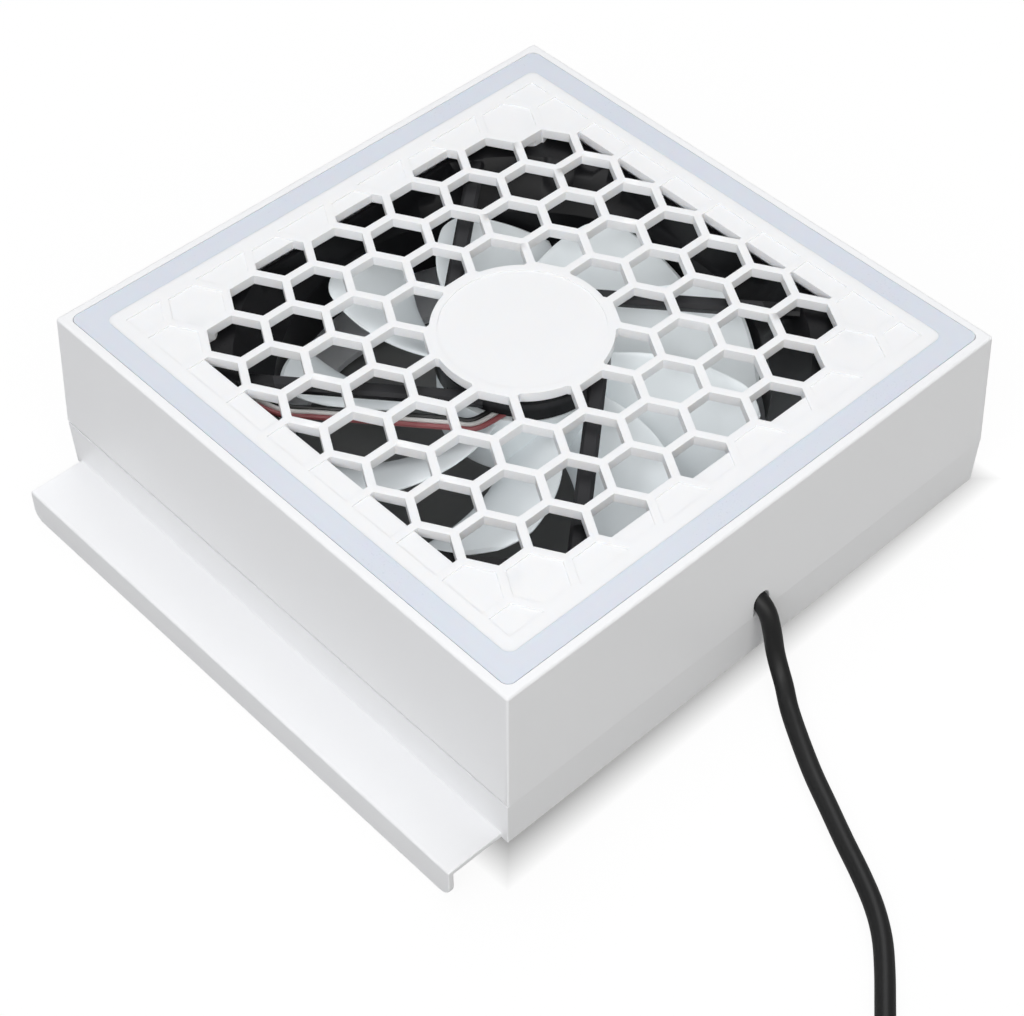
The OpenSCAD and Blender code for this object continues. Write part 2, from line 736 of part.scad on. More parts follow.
// One blade as a closed skin: s runs from the leading, lower edge to the trailing, upper edge
blade_rows = 6;
blade_columns = 8;
blade_camber = 0.3;
sweep_curve = 1.3;
edge_share = 0.2;
function blade_mid(u, s) =
    let (r = hub_r - hub_wall / 2 + u * (tip_r - hub_r + hub_wall / 2),
        span = root_span + u * (tip_span - root_span),
        height = root_h + u * (tip_h - root_h),
        turn = (s - 0.5) * span - blade_sweep * pow(u, sweep_curve))
    [r * cos(turn), r * sin(turn),
        fan_z + blade_lift + blade_t / 2 + height * (s + blade_camber * s * (1 - s))];
function blade_half(s) = blade_t * (edge_share + 4 * (0.5 - edge_share) * s * (1 - s));
module blade() {
    grid = [for (side = [1, -1], i = [0 : blade_rows], j = [0 : blade_columns])
        blade_mid(i / blade_rows, j / blade_columns) + [0, 0, side * blade_half(j / blade_columns)]];
    row = blade_columns + 1;
    count = row * (blade_rows + 1);
    upper = [for (i = [0 : blade_rows - 1], j = [0 : blade_columns - 1])
        let (a = i * row + j) each [[a, a + row + 1, a + row], [a, a + 1, a + row + 1]]];
    lower = [for (f = upper) [f[0] + count, f[2] + count, f[1] + count]];
    rim = concat([for (j = [0 : blade_columns - 1]) j],
        [for (i = [0 : blade_rows - 1]) i * row + blade_columns],
        [for (j = [blade_columns : -1 : 1]) blade_rows * row + j],
        [for (i = [blade_rows : -1 : 1]) i * row]);
    edge = [for (k = [0 : len(rim) - 1])
        let (a = rim[k], b = rim[(k + 1) % len(rim)]) each [[a, a + count, b + count], [a, b + count, b]]];
    polyhedron(grid, concat(upper, lower, edge));
}

// Rotor: hub cup and blades in one moulding
module rotor() {
    color([0.88, 0.9, 0.91]) difference() {
        union() {
            difference() {
                translate([0, 0, hub_z]) cylinder(h = hub_top - hub_z, r = hub_r);
                translate([0, 0, hub_floor]) cylinder(h = hub_top, r = hub_r - hub_wall);
            }
            translate([0, 0, hub_z]) cylinder(h = hub_wall + shaft_boss_h, r = tube_r);
            for (i = [0 : blades - 1]) rotate(rotor_angle + 360 / blades * i) blade();
        }
        translate([0, 0, hub_z + hub_wall / 2]) cylinder(h = fan_t, r = shaft_r);
    }
}

// Steel yoke pressed into the hub
module rotor_yoke() {
    color("gray") translate([0, 0, hub_floor]) difference() {
        cylinder(h = hub_top - hub_floor - yoke_t, r = yoke_r);
        translate([0, 0, -eps]) cylinder(h = fan_t, r = magnet_r);
    }
}

// Magnet ring inside the yoke, level with the stator
module rotor_magnet() {
    color([0.25, 0.25, 0.27]) translate([0, 0, stator_mid - winding_h / 2]) difference() {
        cylinder(h = winding_h, r = magnet_r);
        translate([0, 0, -eps]) cylinder(h = fan_t, r = magnet_r - magnet_t);
    }
}

// Shaft with the groove for its clip
groove_r = shaft_r * 0.8;
module rotor_shaft() {
    foot = hub_z + hub_wall / 2;
    color("silver") difference() {
        translate([0, 0, foot]) cylinder(h = shaft_top - foot, r = shaft_r);
        translate([0, 0, clip_z]) difference() {
            cylinder(h = clip_t, r = 2 * shaft_r);
            translate([0, 0, -eps]) cylinder(h = clip_t + 2 * eps, r = groove_r);
        }
    }
}

// Split clip in the shaft's groove
module shaft_clip() {
    color("gainsboro") translate([0, 0, clip_z]) linear_extrude(clip_t) difference() {
        circle(sleeve_r - 2 * fit);
        circle(groove_r);
        translate([0, -groove_r / 2]) square([sleeve_r, groove_r]);
    }
}

// Motor wires, side by side out of the motor base, along one strut and round to the control board
lead_turn = strut_angle + 180;
lead_z = fan_top - strut_drop - lead_drop - wire_r - fit / 2;
lead_steps = [4, 9, 14, 24, 34, 44, 52];
lead_strut = [for (t = lead_steps)
    let (across = t == lead_steps[0] ? strut_offset - wire_d : strut_offset + strut_w / 2 + wire_d)
    [t * cos(lead_turn) - across * sin(lead_turn), t * sin(lead_turn) + across * cos(lead_turn), lead_z]];
module motor_lead(lane) {
    tube(beside(concat(lead_strut, lead_lay), lane * (wire_d + fit)), wire_r);
}
// Space that the wires take through the motor base and the duct wall
module lead_way() {
    rotate(lead_turn) translate([0, strut_offset - 4 * wire_d, lead_z - wire_d])
        cube([2 * fan_half, 10 * wire_d, 1.5 * wire_d + wire_r]);
}
module fan_lead_red() {
    color("red") motor_lead(2);
}
module fan_lead_white() {
    color("white") motor_lead(1);
}
module fan_lead_black() {
    color([0.1, 0.1, 0.1]) motor_lead(0);
}

// Control board on the base posts
module control_board() {
    color("darkgreen") translate([board_x - board_w / 2, board_y - board_l / 2, board_z])
        cube([board_w, board_l, board_t]);
}

// Chip and choke on the control board
module board_parts() {
    chip = [6, 5, 1.6];
    choke_r = 2.5;
    choke_h = 3;
    color([0.12, 0.12, 0.13]) translate([board_x, board_y, board_z + board_t]) {
        translate([-chip.x / 2, -chip.y, 0]) cube(chip);
        translate([0, 2 * choke_r, 0]) cylinder(h = choke_h, r = choke_r);
    }
}

// Wires from the control board up to the light strips
module led_leads() {
    foot = board_z + board_t;
    color("white") for (y = [-1, 1] * wire_d)
        tube([for (z = [foot, (foot + trough_z) / 2, trough_z]) [led_lead_xy.x, led_lead_xy.y + y, z]],
            wire_r, up = [0, 1, 0]);
}

// Bore of the cord clamp, half in the base's saddle and half in the bar
module clamp_bore() {
    translate([clamp_x - clamp_l, 0, cord_drop[0].z]) rotate([0, 90, 0])
        cylinder(h = 2 * clamp_l, r = cord_r + fit / 2);
}

// Bar that holds the cord in the saddle
module cord_clamp() {
    color("white") difference() {
        translate([clamp_x - clamp_l / 2, -clamp_w / 2, cord_drop[0].z])
            cube([clamp_l, clamp_w, cord_r + clamp_t]);
        clamp_bore();
        for (y = [-1, 1] * clamp_screw_y) translate([clamp_x, y, 0])
            cylinder(h = rim_z, r = clamp_screw_r + fit);
    }
}

// Two screws through the clamp bar
module clamp_screws() {
    top = cord_drop[0].z + cord_r + clamp_t;
    color("dimgray") for (y = [-1, 1] * clamp_screw_y) translate([clamp_x, y, top]) {
        cylinder(h = clamp_head_h, r = clamp_head_r);
        translate([0, 0, -cord_r - clamp_t - clamp_bite + fit])
            cylinder(h = cord_r + clamp_t + clamp_bite - fit + eps, r = clamp_screw_r);
    }
}

// Two cores from the end of the cord's jacket to the control board
module cord_cores() {
    color("firebrick") for (side = [-1, 1]) tube(beside(core_lay, side * (wire_r + fit)), wire_r);
}

// Cord from its clamp to the coil, which it meets on a straight run
module power_cord() {
    entry = [coil_entry(-3), coil_entry(-1)];
    color([0.12, 0.12, 0.13]) tube(concat(cord_drop, [for (p = cord_lay) floor_point([p.x, p.y, cord_r])],
        [for (p = entry) floor_point(p)]), cord_r);
}

// Coil: spirals in on the lower layer, climbs in the half turn at the middle and spirals out again
function coil_radius(t) = coil_in + abs(t - coil_turns / 2) * coil_pitch;
function coil_height(t) = coil_low + coil_pitch * min(1, max(0, (t - coil_turns / 2) * 2 + 0.5));
function coil_point(t) =
    let (a = coil_start + 360 * t)
    [coil_at.x + coil_radius(t) * cos(a), coil_at.y + coil_radius(t) * sin(a), coil_height(t)];
// Point on the straight run at either end of the coil, in cord diameters before its start or past its end
function coil_entry(end) =
    let (t = end < 0 ? 0 : coil_turns, a = coil_start + 360 * t + 90)
    coil_point(t) + end * cord_d * [cos(a), sin(a), 0];
coil_steps = round(coil_turns * coil_rings);
coil_path = concat([coil_entry(-1)],
    [for (i = [0 : coil_steps]) coil_point(i / coil_rings)],
    [coil_entry(1)]);
coil_clear = min([for (i = [0 : coil_steps - 1], j = [i + coil_rings / 2 : 1 : coil_steps])
    norm(coil_point(i / coil_rings) - coil_point(j / coil_rings))]) - cord_d;
echo(least_gap_in_coil = coil_clear);
module cord_coil() {
    color([0.12, 0.12, 0.13]) on_floor() tube(coil_path, cord_r, coil_sides);
}

// Line from the coil's end to the plug, as a place on the level plane
plug_turn = coil_start + 360 * coil_turns + 90;
plug_from = coil_point(coil_turns);
module along_plug() {
    on_floor() translate([plug_from.x, plug_from.y, 0]) rotate(plug_turn) children();
}
tail_end = tail_lay[len(tail_lay) - 1];

// Cord from the coil down to the plug
module cord_tail() {
    color([0.12, 0.12, 0.13]) along_plug() tube([for (p = tail_lay) [p.x, 0, p.y]], cord_r);
}

// Tie around the coil's turns
module cord_tie() {
    high = coil_low + coil_pitch + cord_r + fit;
    reach = coil_out + cord_r + fit;
    inner = coil_in - cord_r - fit - coil_gap;
    color([0.2, 0.2, 0.2]) on_floor() translate([coil_at.x, coil_at.y, 0]) rotate(coil_start + 180)
        rotate([90, 0, 0]) linear_extrude(tie_w, center = true) difference() {
            translate([inner - tie_t, 0]) square([reach - inner + 2 * tie_t, high + tie_t]);
            translate([inner, tie_t]) square([reach - inner, high - tie_t]);
        }
}

// Plug: moulded grip with its sleeve, metal shell and contact tongue
boot_wall = 0.8;
module plug_grip() {
    color([0.12, 0.12, 0.13]) along_plug() translate([tail_end.x, 0, tail_end.y]) {
        rotate([0, 90, 0]) cylinder(h = sleeve_taper_l, r1 = cord_r + boot_wall, r2 = grip_h / 2 - fit);
        translate([sleeve_taper_l - eps, -grip_w / 2, -grip_h / 2]) cube([grip_l, grip_w, grip_h]);
    }
}
shell_t = 0.3;
plug_face = tail_end.x + sleeve_taper_l - eps + grip_l;
module plug_shell() {
    color("silver") along_plug() translate([plug_face, 0, tail_end.y]) rotate([90, 0, 90])
        linear_extrude(plug_l) difference() {
            square([plug_w, plug_h], center = true);
            square([plug_w - 2 * shell_t, plug_h - 2 * shell_t], center = true);
        }
}
module plug_tongue() {
    color("white") along_plug()
        translate([plug_face, shell_t - plug_w / 2, tail_end.y + shell_t - plug_h / 2])
            cube([plug_l - shell_t, plug_w - 2 * shell_t, (plug_h - 2 * shell_t) / 2]);
}

place() upper_shell();
place() grille_panel();
place() light_guide();
place() led_strips();
place() led_chips();
place() base_tray();
place() case_screws();
place() fan_frame();
place() fan_screws();
place() sleeve_bearing();
place() stator_core();
place() stator_coils();
place() fan_board();
place() fan_board_chips();
place() rotor();
place() rotor_yoke();
place() rotor_magnet();
place() rotor_shaft();
place() shaft_clip();
place() fan_lead_red();
place() fan_lead_white();
place() fan_lead_black();
place() control_board();
place() board_parts();
place() led_leads();
place() cord_clamp();
place() clamp_screws();
place() cord_cores();
place() power_cord();
place() cord_coil();
place() cord_tail();
place() cord_tie();
place() plug_grip();
place() plug_shell();
place() plug_tongue();
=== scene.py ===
# A console cooling fan, dressed in the order in which the real one is put together.
import json
import math

import bmesh
import bpy
from mathutils import Matrix, Vector


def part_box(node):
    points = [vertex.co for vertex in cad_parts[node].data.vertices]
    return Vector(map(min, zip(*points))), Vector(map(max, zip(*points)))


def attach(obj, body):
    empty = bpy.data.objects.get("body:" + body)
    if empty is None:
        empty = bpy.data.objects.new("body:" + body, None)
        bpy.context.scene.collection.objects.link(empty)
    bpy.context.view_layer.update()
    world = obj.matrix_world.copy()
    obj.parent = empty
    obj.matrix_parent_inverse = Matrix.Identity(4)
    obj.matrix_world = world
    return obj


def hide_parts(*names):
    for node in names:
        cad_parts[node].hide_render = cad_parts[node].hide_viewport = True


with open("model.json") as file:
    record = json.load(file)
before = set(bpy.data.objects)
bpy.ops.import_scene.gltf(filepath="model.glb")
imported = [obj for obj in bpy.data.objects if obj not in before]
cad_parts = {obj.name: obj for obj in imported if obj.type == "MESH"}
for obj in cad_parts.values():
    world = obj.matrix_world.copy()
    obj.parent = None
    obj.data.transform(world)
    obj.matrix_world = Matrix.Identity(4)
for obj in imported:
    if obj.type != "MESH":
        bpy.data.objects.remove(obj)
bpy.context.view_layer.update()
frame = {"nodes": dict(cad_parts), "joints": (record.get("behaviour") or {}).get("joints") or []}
nodes = frame["nodes"]
scene = bpy.context.scene
scene.view_settings.view_transform = "Standard"


# Studio: a plain pale floor under soft light, with painted shade under the part, seen from above the corner
# between hook and cord.
# The part stands on the inner edge of its lip and on the rear edge of its base, so the floor
# leans a little in the part's own frame.
class Field:
    """One output of a node tree, so that its maths is written as Python expressions."""

    def __init__(self, tree, socket=None):
        self.tree, self.socket = tree, socket

    def node(self, kind, settings=None, inputs=None, output=0):
        """Adds a node: its settings first, then the values or links of its sockets."""
        made = self.tree.nodes.new(kind)
        for name, value in (settings or {}).items():
            setattr(made, name, value)
        for name, value in (inputs or {}).items():
            for one in value if isinstance(value, list) else [value]:
                if isinstance(one, Field):
                    self.tree.links.new(one.socket, made.inputs[name])
                else:
                    made.inputs[name].default_value = one
        return Field(self.tree, made.outputs[output] if made.outputs else None)

    def split(self):
        """The x, y and z of a vector."""
        parts = self.node("ShaderNodeSeparateXYZ", {}, {0: self}).socket.node.outputs
        return [Field(self.tree, part) for part in parts]

    def maths(self, operation, *values):
        """One step of maths on fields and numbers."""
        return self.node("ShaderNodeMath", {"operation": operation}, dict(enumerate(values)))

    def __add__(self, other):
        return self.maths("ADD", self, other)

    def __sub__(self, other):
        return self.maths("SUBTRACT", self, other)

    def __rsub__(self, other):
        return self.maths("SUBTRACT", other, self)

    def __mul__(self, other):
        return self.maths("MULTIPLY", self, other)

    def __truediv__(self, other):
        return self.maths("DIVIDE", self, other)

    def __pow__(self, other):
        return self.maths("POWER", self, other)

    def __lt__(self, other):
        return self.maths("LESS_THAN", self, other)

    def __neg__(self):
        return self.maths("MULTIPLY", self, -1.0)

    __radd__, __rmul__ = __add__, __mul__


def new_shader(name):
    """An empty material and the field that its nodes grow from."""
    material = bpy.data.materials.new(name)
    material.use_nodes = True
    material.node_tree.nodes.clear()
    return material, Field(material.node_tree)


def blend(field, share, low, high):
    """A colour between two colours, by a share from 0 to 1."""
    low, high = [end if isinstance(end, Field) else (*end, 1) for end in (low, high)]
    return field.node("ShaderNodeMix", {"data_type": "RGBA"}, {"Factor": share, 6: low, 7: high}, output=2)


def seen_directly(field):
    """1 for rays from the camera, else 0."""
    return field.node("ShaderNodeLightPath", output="Is Camera Ray")


MM = 0.001
axle = Vector(frame["joints"][0]["pos_m"])
lip_wall, base_under, base_lean = 1.5 * MM, 7.6 * MM, 0.3 * MM
tray_low, tray_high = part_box("base_tray")
rest_line = tray_low.y + lip_wall
rest_tilt = math.atan2(base_under, tray_high.y - base_lean - rest_line)

floor_reach, floor_drop = 3.0, 0.05 * MM
floor_mesh = bpy.data.meshes.new("floor")
floor_mesh.from_pydata(
    [(x, y, (y - rest_line) * math.tan(rest_tilt) - floor_drop)
     for x, y in ((-floor_reach, -floor_reach), (floor_reach, -floor_reach),
                  (floor_reach, floor_reach), (-floor_reach, floor_reach))],
    [], [(0, 1, 2, 3)])
floor = bpy.data.objects.new("floor", floor_mesh)
scene.collection.objects.link(floor)
floor_finish, field = new_shader("pale_floor")
# Under the part the floor's colour is painted darker than elsewhere: painted shade.
floor_pale, painted_floor_shade, shadow_share, painted_shade_half, painted_shade_edge = 0.4, 0.25, 0.2, 70 * MM, 12 * MM
floor_glow = (1 - shadow_share * floor_pale) / (1 - shadow_share)
spot_x, spot_y, _ = field.node("ShaderNodeTexCoord", output="Object").split()
off = field.maths("MAXIMUM", field.maths("ABSOLUTE", spot_x), field.maths("ABSOLUTE", spot_y - axle.y))
# This mask is 0 under the part, where the floor's colour is painted darker as painted shade, and 1 away from
# it.
outside_painted_shade = field.node("ShaderNodeMapRange", {}, {
    "Value": off, "From Min": painted_shade_half, "From Max": painted_shade_half + painted_shade_edge})
paper = field.node("ShaderNodeBsdfDiffuse", {}, {
    "Color": blend(field, outside_painted_shade, 3 * (painted_floor_shade,), 3 * (floor_pale,))})
glow = field.node("ShaderNodeEmission", {}, {"Color": (1, 1, 1, 1), "Strength": floor_glow})
field.node("ShaderNodeOutputMaterial", {}, {"Surface": field.node("ShaderNodeMixShader", {}, {
    0: seen_directly(field) * outside_painted_shade * (1 - shadow_share), 1: paper, 2: glow})})
floor_mesh.materials.append(floor_finish)

world = bpy.data.worlds.new("studio")
world.use_nodes = True
world.node_tree.nodes.clear()
field = Field(world.node_tree)
room_light, cool_side, warm_side, white = 0.32, (0.985, 0.99, 1.0), (1.0, 0.992, 0.95), (1, 1, 1)
to_right, _, _ = field.node("ShaderNodeTexCoord", output="Generated").split()
direct = seen_directly(field)
room = blend(field, 0.5 + 0.5 * to_right, cool_side, warm_side)
field.node("ShaderNodeOutputWorld", {}, {"Surface": field.node("ShaderNodeBackground", {}, {
    "Color": blend(field, direct, room, white), "Strength": room_light + (1 - room_light) * direct})})
scene.world = world
lamp_far, lamp_size, warm_lamp = 4.8, 3.2, (1.0, 0.995, 0.965)


def soft_box(name, side_angle, height_angle, watts, colour):
    """A square studio lamp in a direction from the part, in degrees, pointed at it."""
    lamp = bpy.data.lights.new(name, "AREA")
    lamp.shape, lamp.size, lamp.energy, lamp.color = "SQUARE", lamp_size, watts, colour
    side_angle, height_angle = math.radians(side_angle), math.radians(height_angle)
    way = Vector((math.cos(side_angle) * math.cos(height_angle),
                  math.sin(side_angle) * math.cos(height_angle), math.sin(height_angle)))
    holder = bpy.data.objects.new(name, lamp)
    holder.location = axle + lamp_far * way
    holder.rotation_euler = (-way).to_track_quat("-Z", "Y").to_euler()
    scene.collection.objects.link(holder)


soft_box("hook_side_light", -70, 40, 100.0, cool_side)
soft_box("cord_side_light", -20, 40, 72.0, warm_lamp)
soft_box("top_light", 134, 68, 79.0, cool_side)

camera = bpy.data.objects.new("camera", bpy.data.cameras.new("camera"))
camera.data.lens, camera.data.sensor_width = 81.65, 36.0
camera.data.clip_start, camera.data.clip_end = 0.01, 50.0
eye = Vector((0.28027, -0.25796, 0.41826))
azimuth, elevation, roll = math.radians(46.95), math.radians(47.74), math.radians(-0.244)
camera.matrix_world = (Matrix.Translation(eye) @ Matrix.Rotation(azimuth, 4, "Z")
                       @ Matrix.Rotation(math.pi / 2 - elevation, 4, "X")
                       @ Matrix.Rotation(roll, 4, "Z"))
scene.collection.objects.link(camera)
scene.camera = camera


# Base tray: the lower half of the casing, injection moulded in cool white plastic with a fine
# spark-eroded grain. The hook ledge and its lip are one piece with it, and four screws join it
# to the upper shell from below.
def surface(field, bsdf_inputs, height, depth):
    """Ends a material in a Principled shader with a bump from a height field."""
    bump = field.node("ShaderNodeBump", {}, {"Strength": 1.0, "Distance": depth, "Height": height})
    field.node("ShaderNodeOutputMaterial", {}, {"Surface": field.node(
        "ShaderNodeBsdfPrincipled", {}, {**bsdf_inputs, "Normal": bump})})


def noise(field, per_metre, detail, stretch=(1, 1, 1)):
    """Cloudy noise in the piece's own metres, from 0 to 1 about 0.5."""
    spot = field.node("ShaderNodeTexCoord", output="Object")
    if stretch != (1, 1, 1):
        spot = field.node("ShaderNodeMapping", {}, {"Vector": spot, "Scale": stretch})
    return field.node("ShaderNodeTexNoise", {}, {"Vector": spot, "Scale": per_metre, "Detail": detail})


clouds_per_metre, cloud_detail, grain_detail = 28.0, 3.0, 2.0
gloss_by_grain, gloss_by_cloud = 0.12, 0.06


def mould_marks(field, grain):
    """The slow clouds of tint in a moulding and the fine grain of its mould, which has a size."""
    return noise(field, clouds_per_metre, cloud_detail), noise(field, 1 / grain, grain_detail)


def moulded_plastic(name, colour, tint, roughness, grain, grain_depth, constants=None):
    """Injection moulded plastic: slight clouds of tint, an uneven gloss and a fine grain."""
    material, field = new_shader(name)
    cloud, fine = mould_marks(field, grain)
    surface(field, {
        "Base Color": blend(field, cloud, colour, tint),
        "Roughness": roughness + gloss_by_grain * (fine - 0.5) + gloss_by_cloud * (cloud - 0.5),
        **(constants or {})}, fine, grain_depth)
    return material


def settled(name, mesh, kind, settings, inputs=None):
    """Runs one modifier on a mesh and gives the result as a plain mesh."""
    holder = bpy.data.objects.new(name, mesh)
    scene.collection.objects.link(holder)
    modifier = holder.modifiers.new(name, kind)
    for label, value in settings.items():
        setattr(modifier, label, value)
    for identifier, value in (inputs or {}).items():
        modifier[identifier] = value
    result = bpy.data.meshes.new_from_object(holder.evaluated_get(bpy.context.evaluated_depsgraph_get()))
    holder.modifiers.clear()
    bpy.data.objects.remove(holder)
    bpy.data.meshes.remove(mesh)
    result.name = name
    return result


def soften(mesh, crease):
    """Shades a mesh smooth, apart from edges that are sharper than an angle in degrees."""
    mesh.polygons.foreach_set("use_smooth", [True] * len(mesh.polygons))
    mesh.set_sharp_from_angle(angle=math.radians(crease))


def plain_mesh(name, shape, material, creased=None):
    """Turns a bmesh into a piece's mesh with smooth faces and creases at its sharp edges.

    A test of an edge's two ends can name more creases."""
    mesh = bpy.data.meshes.new(name)
    shape.to_mesh(mesh)
    shape.free()
    soften(mesh, crease=30)
    for edge in mesh.edges if creased else ():
        if creased(*[mesh.vertices[k].co for k in edge.vertices]):
            edge.use_edge_sharp = True
    mesh.materials.clear()
    mesh.materials.append(material)
    return settled(name, mesh, "WEIGHTED_NORMAL", {"keep_sharp": True, "weight": 80})


def rounded(source, *cuts):
    """A bmesh of a mesh with its triangles merged into faces and its sharp edges rounded.

    Each cut has a width, its steps and a test of an edge's middle and length."""
    merge, flat, corner = 0.002 * MM, math.radians(0.5), math.radians(35)
    shape = bmesh.new()
    shape.from_mesh(source)
    bmesh.ops.remove_doubles(shape, verts=shape.verts, dist=merge)
    bmesh.ops.dissolve_limit(shape, angle_limit=flat, verts=shape.verts, edges=shape.edges)
    for width, steps, chosen in cuts:
        sharp = [e for e in shape.edges if e.is_manifold and e.calc_face_angle(0) > corner
                 and chosen((e.verts[0].co + e.verts[1].co) / 2, e.calc_length())]
        bmesh.ops.bevel(shape, geom=sharp, offset=width, offset_type="OFFSET", segments=steps,
                        profile=0.5, affect="EDGES", clamp_overlap=True)
    bmesh.ops.remove_doubles(shape, verts=shape.verts, dist=merge)
    return shape


def place(name, mesh, body, slot, *stands_for):
    """Puts a finished mesh into the scene as a piece that rides on a body."""
    piece = bpy.data.objects.new(name, mesh)
    scene.collection.objects.link(piece)
    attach(piece, body)
    if stands_for:
        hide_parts(*stands_for)
    return piece


def geometry_tree(name, sizes, integers=()):
    """An empty geometry tree, its incoming geometry and its named sizes as fields."""
    tree = bpy.data.node_groups.new(name, "GeometryNodeTree")
    tree.interface.new_socket("Geometry", in_out="OUTPUT", socket_type="NodeSocketGeometry")
    tree.interface.new_socket("Geometry", in_out="INPUT", socket_type="NodeSocketGeometry")
    for label in sizes:
        kind = "NodeSocketInt" if label in integers else "NodeSocketFloat"
        tree.interface.new_socket(label, in_out="INPUT", socket_type=kind)
    start = tree.nodes.new("NodeGroupInput")
    return Field(tree, start.outputs[0]), {label: Field(tree, start.outputs[label]) for label in sizes}


def close_tree(shape, material):
    """Ends a geometry tree in real geometry with its material."""
    real = shape.node("GeometryNodeRealizeInstances", {}, {0: shape})
    shape.node("NodeGroupOutput", {}, {0: shape.node(
        "GeometryNodeSetMaterial", {}, {"Geometry": real, "Material": material})})
    return shape.tree


def grown(name, mesh, tree, sizes):
    """Grows a mesh through a geometry tree with the given sizes."""
    sockets = [s for s in tree.interface.items_tree if s.in_out == "INPUT" and s.name in sizes]
    return settled(name, mesh, "NODES", {"node_group": tree}, {s.identifier: sizes[s.name] for s in sockets})


def xyz(field, x=0.0, y=0.0, z=0.0):
    """A vector from its x, y and z."""
    return field.node("ShaderNodeCombineXYZ", {}, {0: x, 1: y, 2: z})


def carved(first, *others):
    """A solid less other solids."""
    return first.node("GeometryNodeMeshBoolean", {"operation": "DIFFERENCE", "solver": "EXACT"}, {
        "Mesh 1": first, "Mesh 2": list(others)})


white_finish = (0.88, 0.885, 0.905), (0.905, 0.91, 0.93), 0.36, 0.35 * MM, 0.004 * MM
casing_white = moulded_plastic("casing_white", *white_finish)
groove_sizes = {
    "Parting": 20.8 * MM, "Wall Half": 76.9 * MM, "Groove In": 0.28 * MM, "Groove Wide": 0.9 * MM,
    "Groove Deep": 0.9 * MM, "Groove End": 1 * MM}


def groove_tree(material):
    """Cuts a groove into the upper edge of the wall over the hook, so that the joint there looks dark."""
    field, size = geometry_tree("joint_groove", groove_sizes)
    bar = field.node("GeometryNodeMeshCube", {}, {"Size": xyz(
        field, 2 * (size["Wall Half"] - size["Groove End"]), size["Groove Wide"], 2 * size["Groove Deep"])})
    back = size["Groove In"] + 0.5 * size["Groove Wide"] - size["Wall Half"]
    bar = field.node("GeometryNodeTransform", {}, {
        "Geometry": bar, "Translation": xyz(field, axle.x, back + axle.y, size["Parting"])})
    return close_tree(carved(field, bar), material)


def off_axle(spot):
    """How far a point is from the axle, along x or y, whichever is more."""
    return max(abs(spot.x - axle.x), abs(spot.y - axle.y))


def wall_edge(middle, length):
    """The upper edge of the wall over the hook and the upright corners of the walls."""
    least, slack, top_band, over_ledge = 8 * MM, 0.2 * MM, 1 * MM, 10 * MM
    upright = middle.z < groove_sizes["Parting"] - top_band
    off = off_axle(middle) if upright else axle.y - middle.y
    return length > least and off > groove_sizes["Wall Half"] - slack and middle.z > over_ledge


def hook_edge(middle, length):
    """The outer edges of the ledge and its lip, not the two inner corners along them."""
    full_run, slack, over_lip = 100 * MM, 0.1 * MM, 5 * MM
    case_front = axle.y - groove_sizes["Wall Half"]
    inner_corner = length > full_run and middle.z > over_lip
    return middle.y < case_front - slack and not inner_corner


wall_round, hook_round = 0.2 * MM, 0.25 * MM
tray_mesh = grown("tray", nodes["base_tray"].data.copy(), groove_tree(casing_white), groove_sizes)
tray_shape = rounded(tray_mesh, (wall_round, 3, wall_edge), (hook_round, 3, hook_edge))
place("tray", plain_mesh("tray", tray_shape, casing_white), "casing", "casing_white", "base_tray")


# Control board: a small green circuit board on two posts of the tray, with a driver chip and a
# choke. It feeds the motor and the light strips.
def dress(material, *names):
    """Gives CAD nodes that keep their shape their material."""
    for name in names:
        nodes[name].data.materials.clear()
        nodes[name].data.materials.append(material)


def circuit_board(name, mask, trace):
    """Solder mask over copper: straight tracks show through it as a lighter green."""
    tracks_per_metre, track_start, mask_rough, track_rough, track_rise = 260.0, 0.72, 0.3, 0.15, 0.02 * MM
    material, field = new_shader(name)
    spot = field.node("ShaderNodeTexCoord", output="Object")
    tracks = field.node("ShaderNodeTexWave", {"bands_direction": "DIAGONAL"}, {
        "Vector": spot, "Scale": tracks_per_metre, "Distortion": 1.5, "Detail": 1.0}, output=1)
    track = 1 - (tracks < track_start)
    surface(field, {"Base Color": blend(field, track, mask, trace),
                    "Roughness": mask_rough + track_rough * track}, track, track_rise)
    return material


board_green = circuit_board("board_green", (0.012, 0.09, 0.035), (0.03, 0.17, 0.07))
chip_black = moulded_plastic("chip_black", (0.012, 0.012, 0.013), (0.02, 0.02, 0.021), 0.5,
                             0.2 * MM, 0.01 * MM)
dress(board_green, "control_board", "fan_board")
dress(chip_black, "board_parts", "fan_board_chips")


# Fan frame: a standard 120 mm frame moulded in black plastic, with four struts that carry the
# motor base on the side towards the vent.
def moulding(name, node, material, slot, *cuts):
    """A CAD node of the casing again with rounded edges, as it comes out of its mould."""
    return place(name, plain_mesh(name, rounded(nodes[node].data, *cuts), material), "casing", slot, node)


def long_edge(middle, length):
    """The edges that are longer than the small steps of a moulding."""
    small_step = 4 * MM
    return length > small_step


